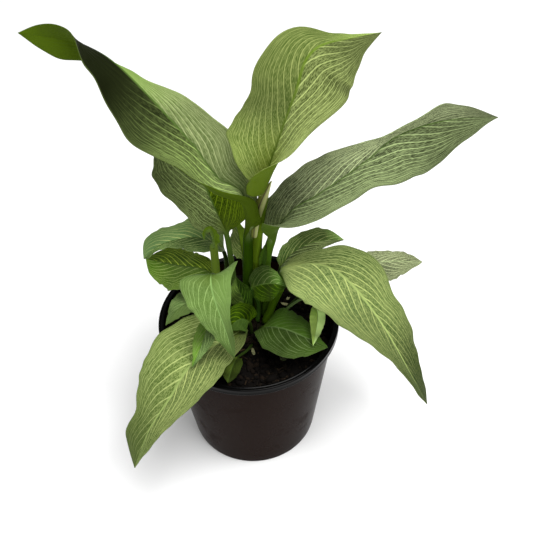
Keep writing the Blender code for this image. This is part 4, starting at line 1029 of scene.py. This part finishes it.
def silver_group(name):
    """How pale the skin is: along the veins and in the islands between, less at the tip and margin."""
    amounts = ("Vein amount", "Fine amount", "Net amount", "Patch amount")
    values = ("Vein", "Fine", "Net", "Patch", "Out", "Share", *amounts, "Tip start", "Tip end", "Tip")
    tree, entry = new_group(name, (), values, ("Silver",))
    amount = maths(tree, "MULTIPLY", entry["Vein"], entry["Vein amount"])
    amount = maths(tree, "MULTIPLY_ADD", entry["Fine"], entry["Fine amount"], amount)
    amount = maths(tree, "MULTIPLY_ADD", entry["Net"], entry["Net amount"], amount)
    centred = maths(tree, "MULTIPLY_ADD", entry["Patch"], 2.0, -1.0)
    amount = maths(tree, "MULTIPLY_ADD", centred, entry["Patch amount"], amount)
    inside = ramp(tree, entry["Out"], 0.93, 1.0, 1.0, 0.6)
    below_tip = ramp(tree, entry["Share"], entry["Tip start"], entry["Tip end"], 1.0, entry["Tip"])
    keep = maths(tree, "MULTIPLY", inside, below_tip)
    product = add(tree, "ShaderNodeMath", (amount, keep), operation="MULTIPLY", use_clamp=True)
    return end_group(tree, product)


def glow_group(name):
    """The paler base of a blade, running a little way up beside the midrib: partly its own paler green,
    partly painted light shining through it from behind.
    """
    tree, entry = new_group(name, (), ("Share", "Out", "Reach"), ("Glow",))
    near = ramp(tree, entry["Out"], 0.1, 0.6, 1.0, 0.2)
    base = ramp(tree, entry["Share"], 0.0, entry["Reach"], 0.75, 0.0)
    return end_group(tree, maths(tree, "MULTIPLY", base, near))


def leaf_material(name):
    """The skin of one leaf, drawn from the places its points remember."""
    known = bpy.data.materials.get("leaf " + name)
    if known:
        return known
    colours = LOOKS[name]
    material, tree, shader = new_material("leaf " + name)
    place = add(tree, "ShaderNodeAttribute", output=1, attribute_name="leaf_place")
    across, share, upside = parts_of(tree, place)
    veins = use_group(
        tree, "leaf veins", vein_group, Place=place, Gap=colours["gap"], Sweep=colours["sweep"]
    )
    vein, fine, net, out = (veins[label] for label in ("Vein", "Fine", "Net", "Out"))
    hand = ramp(tree, across, -0.03, 0.03)
    dark = mix(tree, hand, colours["dark_left"], colours["dark_right"])
    pale = mix(tree, hand, colours["pale_left"], colours["pale_right"])
    skin = mix(tree, silver_mask(tree, colours, share, veins), dark, pale)
    # Painted light and shade along each half, multiplied into the skin.
    skin = mix(tree, 1.0, skin, painted_light_along(tree, colours, share, hand), "MULTIPLY")
    # Painted light through the base of the blade, mixed with its own paler green.
    glow = use_group(tree, "leaf glow", glow_group, Share=share, Out=out, Reach=3 * colours["glow_reach"])
    skin = mix(tree, glow["Glow"], skin, colours["glow"])
    fading = ramp(tree, share, 0.75, 1.0, 0.8, 0.1)
    rib = maths(tree, "MULTIPLY", ramp(tree, out, 0.015, 0.05, 1.0, 0.0), fading)
    skin = mix(tree, rib, skin, colours["rib"])
    line = maths(tree, "MULTIPLY", ramp(tree, out, 0.955, 0.995), colours["line"])
    skin = mix(tree, line, skin, pale)
    below = mix(tree, maths(tree, "MULTIPLY", vein, 0.3), colours["under"], colours["rib"])
    skin = mix(tree, ramp(tree, upside, 0.3, 0.7), below, skin)
    skin = mix(tree, ramp(tree, share, -0.04, 0.05), colours["stalk"], skin)
    wire(tree, shader.inputs["Base Color"], skin)
    wire(tree, shader.inputs["Roughness"], colours["rough"])
    wire(tree, shader.inputs["Specular IOR Level"], colours["shine"])
    wire(tree, shader.inputs["Specular Tint"], LEAF_SHEEN)
    height = maths(tree, "MULTIPLY_ADD", net, 0.4, maths(tree, "MULTIPLY", fine, -0.5))
    add_bump(tree, shader, height, 0.35, 0.0002)
    return material


def silver_mask(tree, colours, share, veins):
    """Place the silver group with a leaf's own amounts."""
    feeds = {label: veins[label] for label in ("Vein", "Fine", "Net", "Patch", "Out")}
    for label in ("Vein", "Fine", "Net", "Patch"):
        feeds[label + " amount"] = colours[label.lower()]
    feeds["Tip start"] = colours["tip_from"] - 0.2
    feeds["Tip end"] = colours["tip_from"] + 0.06
    feeds["Tip"] = colours["tip"]
    return use_group(tree, "leaf silver", silver_group, Share=share, **feeds)["Silver"]


def painted_light_along(tree, colours, share, hand):
    """Painted light and shade: how much darker or lighter each half is drawn from base to tip where the
    light falls on it, with some of the half's own tone.
    """
    curve = tree.nodes.new("ShaderNodeValToRGB")
    steps = curve.color_ramp.elements
    left, right = colours["shade_left"], colours["shade_right"]
    for number in range(1, len(left) - 1):
        steps.new(number / (len(left) - 1))
    for step, one, other in zip(steps, left, right):
        step.color = (one, other, 0, 1)
    wire(tree, curve.inputs[0], share)
    parts = tree.nodes.new("ShaderNodeSeparateColor")
    tree.links.new(curve.outputs[0], parts.inputs[0])
    level = add(tree, "ShaderNodeMix", {0: hand, 2: parts.outputs[0], 3: parts.outputs[1]})
    return add(tree, "ShaderNodeCombineColor", (level, level, level))


def dust_group(name):
    """Fine dust gathered in drifts: the marks it leaves, and the drifts themselves."""
    tree, entry = new_group(name, ("Place",), ("Amount",), ("Marks", "Drift"))
    dust = ramp(tree, noise_of(tree, entry["Place"], 900.0, 3.0), 0.68, 0.8)
    drift = ramp(tree, noise_of(tree, entry["Place"], 60.0, 4.0, 0.6), 0.5, 0.75)
    cover = maths(tree, "MULTIPLY_ADD", drift, entry["Amount"], 0.004)
    return end_group(tree, maths(tree, "MULTIPLY", dust, cover), drift)


def plastic_material(name, sizes, colour, tint, level, roughness):
    """Moulded plastic with a little dust and faint rubbed marks."""
    material, tree, shader = new_material(name)
    place = add(tree, "ShaderNodeTexCoord", output=3)
    dust = use_group(tree, "dust", dust_group, Place=place, Amount=0.1)
    wire(tree, shader.inputs["Base Color"], mix(tree, dust["Marks"], tuple(colour), tuple(sizes.scuff)))
    wire(tree, shader.inputs["Roughness"], ramp(tree, dust["Drift"], 0.0, 1.0, *roughness))
    wire(tree, shader.inputs["Specular IOR Level"], level)
    wire(tree, shader.inputs["Specular Tint"], tint)
    wire(tree, shader.inputs["IOR"], 1.2)
    return material


def grain_group(name):
    """The grain of damp crumbs, and how much of their light shade it lets through."""
    tree, entry = new_group(name, ("Place",), ("Scale",), ("Grain", "Light"))
    grain = noise_of(tree, entry["Place"], entry["Scale"], 3.0, 0.7)
    return end_group(tree, grain, ramp(tree, grain, 0.35, 0.7, 0.4, 1.0))


def crumb_material(name, dark, light, rough=0.95):
    """Damp crumbs, each its own shade."""
    material, tree, shader = new_material(name)
    shade = add(tree, "ShaderNodeAttribute", output=2, attribute_name="shade")
    place = add(tree, "ShaderNodeTexCoord", output=3)
    grain = use_group(tree, "grain", grain_group, Place=place, Scale=1400.0)
    share = maths(tree, "MULTIPLY", shade, grain["Light"])
    wire(tree, shader.inputs["Base Color"], mix(tree, share, dark, light))
    wire(tree, shader.inputs["Roughness"], rough)
    wire(tree, shader.inputs["Specular IOR Level"], 0.08)
    add_bump(tree, shader, grain["Grain"], 0.6, 0.0004)
    return material


def sheath_material():
    """Papery tissue: olive brown with cream margins and one dark thread."""
    material, tree, shader = new_material("dry sheath")
    place = add(tree, "ShaderNodeAttribute", output=1, attribute_name="leaf_place")
    across = parts_of(tree, place)[0]
    skin = mix(tree, ramp(tree, across, -0.3, 0.75), (0.15, 0.17, 0.03), (0.5, 0.52, 0.22))
    right_of = ramp(tree, across, -0.25, -0.15)
    thread = maths(tree, "MULTIPLY", right_of, ramp(tree, across, -0.05, 0.05, 1.0, 0.0))
    skin = mix(tree, maths(tree, "MULTIPLY", thread, 0.8), skin, (0.05, 0.025, 0.03))
    wire(tree, shader.inputs["Base Color"], skin)
    wire(tree, shader.inputs["Roughness"], 0.6)
    wire(tree, shader.inputs["Specular IOR Level"], 0.1)
    return material


# ---------------------------------------------------------------------------------------------
# Pot, soil and crown

TURN_STEPS = 192
LIP_ROUND = 0.0007
PAD_RADIUS = 0.016
FOOT_RING_WIDTH = 0.0045
FOOT_ROUND = 0.0008
CHANNEL_RISE = 0.0015
DRAIN_RING_RADIUS = 0.0255
CRUMB_SEED = 11
FIBRE_SEED = 23
LITTER_SEED = 31

# Bits of old leaf on the soil: place across and along, length and width in mm, turn in degrees, shade.
LITTER = (
    (26.6, 22.5, 6.0, 3.2, 20, 0.9),
    (22.6, 18.0, 6.5, 2.2, 155, 1.0),
    (30.2, 41.0, 5.0, 2.4, 70, 0.9),
    (1.2, -17.4, 2.4, 4.6, 8, 0.55),
    (18.7, -23.2, 5.5, 4.5, 40, 0.12),
)
LITTER_THICKNESS = 0.0004
LITTER_LEAN = math.radians(12)

# The sheath: points up its middle and its half widths, in mm from the middle of the rim.
SHEATH_PATH = ((5.6, 5, 58), (7, 2, 74), (10.4, -3, 91), (15.4, -9, 109))
SHEATH_HALF = (1.6, 2.5, 2.3, 0.25)
SHEATH_WRAP = math.radians(70)
SHEATH_WALL = 0.0003
SHEATH_FRONT = np.array([0.0, -0.8, 0.6])


def arc(centre, radius, start, end, steps=6):
    """Points of an arc in a turned section, by angles in degrees."""
    angles = np.radians(np.linspace(start, end, steps))
    return [(centre[0] + radius * math.cos(a), centre[1] + radius * math.sin(a)) for a in angles]


def wall_radius(sizes, height):
    """Outer radius of the tapered wall at a height."""
    top = sizes.rim_radius - sizes.lip_width
    return sizes.base_radius + (top - sizes.base_radius) * height / sizes.height


def base_steps(sizes, height):
    """The base's section, from its middle to the foot ring, with a raised ring for the drains."""
    inside = sizes.base_radius - FOOT_RING_WIDTH
    slope = CHANNEL_RISE
    return [
        (0, height), (PAD_RADIUS, height), (PAD_RADIUS + slope, height + CHANNEL_RISE),
        (inside - slope, height + CHANNEL_RISE), (inside, height),
    ]


def lip_steps(sizes):
    """The rolled lip: inner edge, flat top with a shallow groove, rounded bead and underside."""
    top = sizes.height
    rim = sizes.rim_radius
    inside = wall_radius(sizes, top) - sizes.wall
    low = top - sizes.lip_depth
    bead = LIP_ROUND
    return (
        arc((inside + bead, top - bead), bead, 180, 90)
        + [(inside + 1.5 * bead, top), (inside + 1.7 * bead, top - 0.0002)]
        + [(rim - 1.9 * bead, top - 0.0002), (rim - 1.6 * bead, top)]
        + arc((rim - bead, top - bead), bead, 90, 0)
        + [(rim - 0.00012, top - 2.2 * bead), (rim - 0.00012, low + 1.6 * bead)]
        + arc((rim - bead, low + bead), bead, 0, -90)
        + [(wall_radius(sizes, low) + 0.0002, low), (wall_radius(sizes, low - 0.0003), low - 0.0003)]
    )


def turned(profile, steps=TURN_STEPS):
    """Spin a closed section about the upright axis."""
    shape = bmesh.new()
    corners = [shape.verts.new((radius, 0, height)) for radius, height in profile]
    edges = [shape.edges.new(pair) for pair in zip(corners, corners[1:])]
    bmesh.ops.spin(
        shape, geom=corners + edges, cent=(0, 0, 0), axis=UP, angle=math.tau, steps=steps,
        use_merge=True, use_duplicate=False,
    )
    bmesh.ops.remove_doubles(shape, verts=shape.verts, dist=0.000005)
    bmesh.ops.recalc_face_normals(shape, faces=shape.faces)
    return shape


def make_pot(sizes):
    """The pot, turned from its section and drilled."""
    floor = base_steps(sizes, sizes.wall) + [(wall_radius(sizes, sizes.wall) - sizes.wall, sizes.wall)]
    inner = [(wall_radius(sizes, h) - sizes.wall, h) for h in np.linspace(0.01, sizes.height - 0.002, 12)]
    lip_foot = sizes.height - sizes.lip_depth
    outer = [(wall_radius(sizes, h), h) for h in np.linspace(lip_foot - 0.002, 0.002, 14)]
    foot = arc((sizes.base_radius - FOOT_ROUND, FOOT_ROUND), FOOT_ROUND, 0, -90, 5)
    profile = floor + inner + lip_steps(sizes) + outer + foot + base_steps(sizes, 0)[::-1]
    shape = turned(profile)
    for face in shape.faces:
        face.material_index = int(face.calc_center_median().z > lip_foot - 0.0002)
    # The wall's brown colour is a painted warm reflection on black plastic; the lip stays black.
    skins = [
        plastic_material("pot wall plastic with painted reflection", sizes, sizes.plastic, WALL_SHEEN, 0.06, (0.24, 0.4)),
        plastic_material("pot lip plastic", sizes, LIP_COLOUR, LIP_SHEEN, 0.3, (0.144, 0.304)),
    ]
    pot = new_piece("pot_shell", shape, skins, "black_plastic", "pot")
    drill_drains(pot, sizes)
    for edge in pot.data.edges:
        edge.use_edge_sharp = False
    return pot


def drill_drains(pot, sizes):
    """Cut the drain holes through the raised ring of the base."""
    cutters = bmesh.new()
    for number in range(sizes.drain_count):
        angle = math.tau * number / sizes.drain_count
        centre = Vector((DRAIN_RING_RADIUS * math.cos(angle), DRAIN_RING_RADIUS * math.sin(angle), 0))
        bmesh.ops.create_cone(
            cutters, cap_ends=True, segments=32, radius1=sizes.drain_radius, radius2=sizes.drain_radius,
            depth=0.012, matrix=Matrix.Translation(centre),
        )
    mesh = bpy.data.meshes.new("drains")
    cutters.to_mesh(mesh)
    cutters.free()
    drill = bpy.data.objects.new("drains", mesh)
    bpy.context.scene.collection.objects.link(drill)
    cut = pot.modifiers.new("Drains", "BOOLEAN")
    cut.object = drill
    cut.operation = "DIFFERENCE"
    cut.solver = "EXACT"
    bpy.context.view_layer.update()
    drilled = bpy.data.meshes.new_from_object(pot.evaluated_get(bpy.context.evaluated_depsgraph_get()))
    pot.modifiers.clear()
    pot.data = drilled
    bpy.data.objects.remove(drill, do_unlink=True)


def ground_swell(x, y):
    """How much the soil's surface is raised at a place."""
    broad = noise.noise(Vector((x * 90, y * 90, 3.1)))
    rough = noise.noise(Vector((x * 420, y * 420, 7.7)))
    fine = noise.noise(Vector((x * 1100, y * 1100, 1.3)))
    return 0.0009 * broad + 0.0007 * rough + 0.0003 * fine


def make_soil(pot, sizes):
    """The soil: a rough top that sinks at the wall, filling the pot."""
    top = SOIL_HIGH.z
    edge = wall_radius(pot, top) - pot.wall - GAP
    bed = [(r, top - 0.0015 * smoothstep(edge - 0.008, edge, r)) for r in np.linspace(0, edge, 76)]
    low = pot.wall + CHANNEL_RISE + GAP
    deep = [(wall_radius(pot, low) - pot.wall - GAP, low), (0, low)]
    shape = turned(bed + deep, 240)
    for vertex in shape.verts:
        if vertex.co.z > top - 0.004:
            vertex.co.z += ground_swell(vertex.co.x, vertex.co.y)
    material = crumb_material("damp soil", tuple(sizes.soil), tuple(sizes.soil))
    return new_piece("soil_bed", shape, [material], "potting_soil", "soil")


def make_crown(sizes):
    """The crown of short stalk bases and rootlets that the leaves stand on."""
    radius, high = CROWN_HIGH.x, CROWN_HIGH.z
    top = [(r, high - 0.0035 * (r / radius) ** 4) for r in np.linspace(0, radius, 34)]
    shape = turned(top + [(radius, high - 0.006), (0.6 * radius, CROWN_LOW.z), (0, CROWN_LOW.z)], 120)
    for vertex in shape.verts:
        if vertex.co.z > high - 0.005:
            vertex.co.z += 1.2 * ground_swell(vertex.co.x + 0.3, vertex.co.y) - 0.0004
    material = crumb_material("crown", (0.012, 0.01, 0.005), tuple(sizes.bark))
    return new_piece("crown_top", shape, [material], "crown_tissue", "root_crown")


def scattered(count, seed):
    """Places on the soil, evenly spread by chance from a fixed seed."""
    chance = np.random.default_rng(seed)
    radius = np.sqrt(chance.uniform(0, 0.97, count)) * BED_RADIUS * 0.99
    angle = chance.uniform(0, math.tau, count)
    return chance, radius * np.cos(angle), radius * np.sin(angle)


def paint_new(shape, layer, before, shade):
    """Give the vertices added since a count one shade."""
    shape.verts.ensure_lookup_table()
    for vertex in shape.verts[before:]:
        vertex[layer] = shade


def soil_height(x, y):
    """Height of the surface of the soil or of the crown at a place."""
    r = math.hypot(x, y)
    if r < CROWN_HIGH.x:
        return CROWN_HIGH.z - 0.0035 * (r / CROWN_HIGH.x) ** 4
    return SOIL_HIGH.z + ground_swell(x, y) - 0.0015 * float(smoothstep(BED_RADIUS - 0.008, BED_RADIUS, r))


def make_crumbs(sizes):
    """Loose crumbs of the potting mix."""
    noise.seed_set(CRUMB_SEED)
    chance, xs, ys = scattered(sizes.crumbs, CRUMB_SEED)
    shape = bmesh.new()
    layer = shape.verts.layers.float.new("shade")
    for x, y in zip(xs, ys):
        before = len(shape.verts)
        size = sizes.crumb_size * chance.lognormal(0, 0.45)
        spin = Matrix.Rotation(chance.uniform(0, math.tau), 4, Vector(chance.normal(size=3)).normalized())
        stretch = Matrix.Diagonal((*chance.uniform(0.6, 1.4, 3), 1))
        place = Matrix.Translation((x, y, soil_height(x, y) + 0.25 * size))
        bmesh.ops.create_icosphere(shape, subdivisions=1, radius=size, matrix=place @ spin @ stretch)
        paint_new(shape, layer, before, 0.25 * chance.random() ** 3)
    for vertex in shape.verts:
        vertex.co += 0.25 * sizes.crumb_size * noise.noise_vector(vertex.co * 900)
    material = crumb_material("crumbs", tuple(sizes.soil), tuple(sizes.bark))
    return new_piece("soil_crumbs", shape, [material], "potting_soil")


def make_fibres(sizes):
    """Splinters of bark and bits of root lying on the soil."""
    chance, xs, ys = scattered(sizes.fibres, FIBRE_SEED)
    shape = bmesh.new()
    layer = shape.verts.layers.float.new("shade")
    for x, y in zip(xs, ys):
        before = len(shape.verts)
        length = 0.003 * chance.lognormal(0, 0.5)
        tilt = Matrix.Rotation(math.radians(chance.uniform(78, 100)), 4, "Y")
        turn = Matrix.Rotation(chance.uniform(0, math.tau), 4, "Z")
        place = Matrix.Translation((x * 0.95, y * 0.95, soil_height(x, y) + 0.0009))
        flat = Matrix.Diagonal((0.5, 1, 1, 1))
        bmesh.ops.create_cone(
            shape, cap_ends=True, segments=6, radius1=0.0006, radius2=0.0003, depth=length,
            matrix=place @ turn @ tilt @ flat,
        )
        paint_new(shape, layer, before, chance.uniform(0.15, 1) ** 2)
    material = crumb_material("bark", tuple(sizes.soil), tuple(sizes.bark), 0.8)
    return new_piece("soil_fibres", shape, [material], "potting_soil")


def make_litter():
    """Bits of old leaf that lie on the soil."""
    noise.seed_set(LITTER_SEED)
    shape = bmesh.new()
    layer = shape.verts.layers.float.new("shade")
    for x, y, length, width, turn, shade in LITTER:
        before = len(shape.verts)
        x, y = x * MM, y * MM
        place = Matrix.Translation((x, y, soil_height(x, y) + 0.0012))
        lean = Matrix.Rotation(math.radians(turn), 4, "Z") @ Matrix.Rotation(LITTER_LEAN, 4, "X")
        flat = Matrix.Diagonal((length / 2 * MM, width / 2 * MM, LITTER_THICKNESS, 1))
        bmesh.ops.create_icosphere(shape, subdivisions=3, radius=1, matrix=place @ lean @ flat)
        paint_new(shape, layer, before, shade)
    for vertex in shape.verts:
        vertex.co += 0.0005 * noise.noise_vector(vertex.co * 320)
    material = crumb_material("litter", (0.02, 0.035, 0.01), (0.62, 0.6, 0.3), 0.7)
    return new_piece("soil_litter", shape, [material], "potting_soil")


def make_sheath():
    """The papery sheath that a tall leaf grew out of, half wrapped round its stalk."""
    curve = spline([plant_point(point) for point in SHEATH_PATH])
    lengths = along(curve)
    shape = bmesh.new()
    layer = shape.verts.layers.float_vector.new("leaf_place")
    bmesh.ops.create_grid(shape, x_segments=10, y_segments=28, size=1)
    for vertex in shape.verts:
        across, share = vertex.co.x, (vertex.co.y + 1) / 2
        places = np.array([0.98 * share, 0.98 * share + 0.02]) * lengths[-1]
        here, ahead = sample(curve, lengths, places)
        rise = unit(ahead - here)
        face = unit(SHEATH_FRONT - SHEATH_FRONT.dot(rise) * rise)
        side = np.cross(rise, face)
        half_width = MM * float(spline_values(SHEATH_HALF, share)) / math.sin(SHEATH_WRAP)
        bend = across * SHEATH_WRAP
        vertex[layer] = (across, share, 0)
        vertex.co = Vector(here + half_width * (math.sin(bend) * side + (math.cos(bend) - 1) * face))
    bmesh.ops.recalc_face_normals(shape, faces=shape.faces)
    bmesh.ops.solidify(shape, geom=shape.faces[:], thickness=SHEATH_WALL)
    return new_piece("leaf_sheath", shape, [sheath_material()], "young_leaf")


# ---------------------------------------------------------------------------------------------
# Stage

VIEW_PITCH = 49
VIEW_DISTANCE = 0.475
VIEW_ROLL = -2.15
VIEW_LENS = 55
VIEW_ASIDE = 0.0123
VIEW_ABOVE = 0.0287


def make_camera():
    """The camera, looking down at the plant."""
    pitch = math.radians(VIEW_PITCH)
    rim = Vector((0, 0, RIM_HEIGHT))
    seat = rim + VIEW_DISTANCE * Vector((0, -math.cos(pitch), math.sin(pitch)))
    target = rim + Vector((VIEW_ASIDE, 0, 0)) + VIEW_ABOVE * Vector((0, math.sin(pitch), math.cos(pitch)))
    ahead = (target - seat).normalized()
    right = ahead.cross(Vector(UP)).normalized()
    above = right.cross(ahead)
    roll = math.radians(VIEW_ROLL)
    leaning = math.cos(roll) * right + math.sin(roll) * above
    upward = math.cos(roll) * above - math.sin(roll) * right
    turn = Matrix((leaning, upward, -ahead)).transposed()
    data = bpy.data.cameras.new("Camera")
    data.lens = VIEW_LENS
    data.clip_start = 0.01
    camera = bpy.data.objects.new("Camera", data)
    camera.matrix_world = Matrix.LocRotScale(seat, turn, None)
    bpy.context.scene.collection.objects.link(camera)
    bpy.context.scene.camera = camera


def make_lamp(name, place, target, size, power):
    """A square soft light."""
    data = bpy.data.lights.new(name, "AREA")
    data.size = size
    data.energy = power
    lamp = bpy.data.objects.new(name, data)
    lamp.location = place
    lamp.rotation_euler = (Vector(target) - Vector(place)).to_track_quat("-Z", "Y").to_euler()
    bpy.context.scene.collection.objects.link(lamp)


def make_floor(sizes):
    """A wide pale floor."""
    shape = bmesh.new()
    bmesh.ops.create_grid(shape, x_segments=1, y_segments=1, size=3)
    mesh = bpy.data.meshes.new("floor")
    shape.to_mesh(mesh)
    shape.free()
    floor = bpy.data.objects.new("floor", mesh)
    bpy.context.scene.collection.objects.link(floor)
    material, tree, shader = new_material("floor")
    wire(tree, shader.inputs["Base Color"], tuple(sizes.floor))
    wire(tree, shader.inputs["Roughness"], 0.9)
    mesh.materials.append(material)


def make_world(strength):
    """Even light all round."""
    world = bpy.data.worlds.new("Surround")
    world.use_nodes = True
    wire(world.node_tree, world.node_tree.nodes["Background"].inputs["Color"], (1.0, 1.0, 1.0))
    wire(world.node_tree, world.node_tree.nodes["Background"].inputs["Strength"], strength)
    bpy.context.scene.world = world


# ---------------------------------------------------------------------------------------------
# Operators and panel


class LILY_OT_pot(bpy.types.Operator):
    """Build the nursery pot"""

    bl_idname = "lily.pot"
    bl_label = "Pot"

    def execute(self, context):
        make_pot(context.scene.lily_pot)
        return {"FINISHED"}


class LILY_OT_soil(bpy.types.Operator):
    """Fill the pot with soil, crown, crumbs, fibres and litter"""

    bl_idname = "lily.soil"
    bl_label = "Soil"

    def execute(self, context):
        bed = context.scene.lily_bed
        make_soil(context.scene.lily_pot, bed)
        make_crown(bed)
        make_crumbs(bed)
        make_fibres(bed)
        make_litter()
        return {"FINISHED"}


class LILY_OT_tall_leaves(bpy.types.Operator):
    """Grow the three tall leaves, with the sheath of one"""

    bl_idname = "lily.tall_leaves"
    bl_label = "Tall leaves"

    def execute(self, context):
        for leaf in LEAVES[:3]:
            make_leaf(leaf, context.scene.lily_leaves)
        make_sheath()
        return {"FINISHED"}


class LILY_OT_low_leaves(bpy.types.Operator):
    """Grow the low leaves and the new shoots"""

    bl_idname = "lily.low_leaves"
    bl_label = "Low leaves"

    def execute(self, context):
        for leaf in LEAVES[3:]:
            make_leaf(leaf, context.scene.lily_leaves)
        return {"FINISHED"}


class LILY_OT_stage(bpy.types.Operator):
    """Set out the floor, the light and the camera"""

    bl_idname = "lily.stage"
    bl_label = "Stage"

    def execute(self, context):
        sizes = context.scene.lily_stage
        context.scene.view_settings.view_transform = "Standard"
        make_floor(sizes)
        make_world(sizes.sky)
        make_lamp("Key", (0.3, -0.25, 1.25), (0, 0, 0.15), 0.8, sizes.key)
        make_lamp("Fill", (-0.9, -0.6, 0.8), (0, 0, 0.15), 0.6, sizes.fill)
        make_camera()
        return {"FINISHED"}


class LILY_PT_panel(bpy.types.Panel):
    """Sizes, and a button for each group of pieces"""

    bl_idname = "LILY_PT_panel"
    bl_label = "Potted peace lily"
    bl_space_type = "VIEW_3D"
    bl_region_type = "UI"
    bl_category = "Lily"

    def draw(self, context):
        for group in SETTINGS:
            settings = getattr(context.scene, group)
            for name in settings.__annotations__:
                self.layout.prop(settings, name)
        for operator in OPERATORS:
            self.layout.operator(operator.bl_idname)


SETTINGS = {"lily_pot": LilyPot, "lily_bed": LilyBed, "lily_leaves": LilyLeaves, "lily_stage": LilyStage}
OPERATORS = (LILY_OT_pot, LILY_OT_soil, LILY_OT_tall_leaves, LILY_OT_low_leaves, LILY_OT_stage)


def register():
    for name, kind in SETTINGS.items():
        bpy.utils.register_class(kind)
        setattr(bpy.types.Scene, name, PointerProperty(type=kind))
    for kind in (*OPERATORS, LILY_PT_panel):
        bpy.utils.register_class(kind)


def unregister():
    for kind in (LILY_PT_panel, *reversed(OPERATORS)):
        bpy.utils.unregister_class(kind)
    for name, kind in SETTINGS.items():
        delattr(bpy.types.Scene, name)
        bpy.utils.unregister_class(kind)


def main():
    """Build everything."""
    register()
    bpy.ops.lily.pot()
    bpy.ops.lily.soil()
    bpy.ops.lily.tall_leaves()
    bpy.ops.lily.low_leaves()
    bpy.ops.lily.stage()


if __name__ == "__main__":
    main()
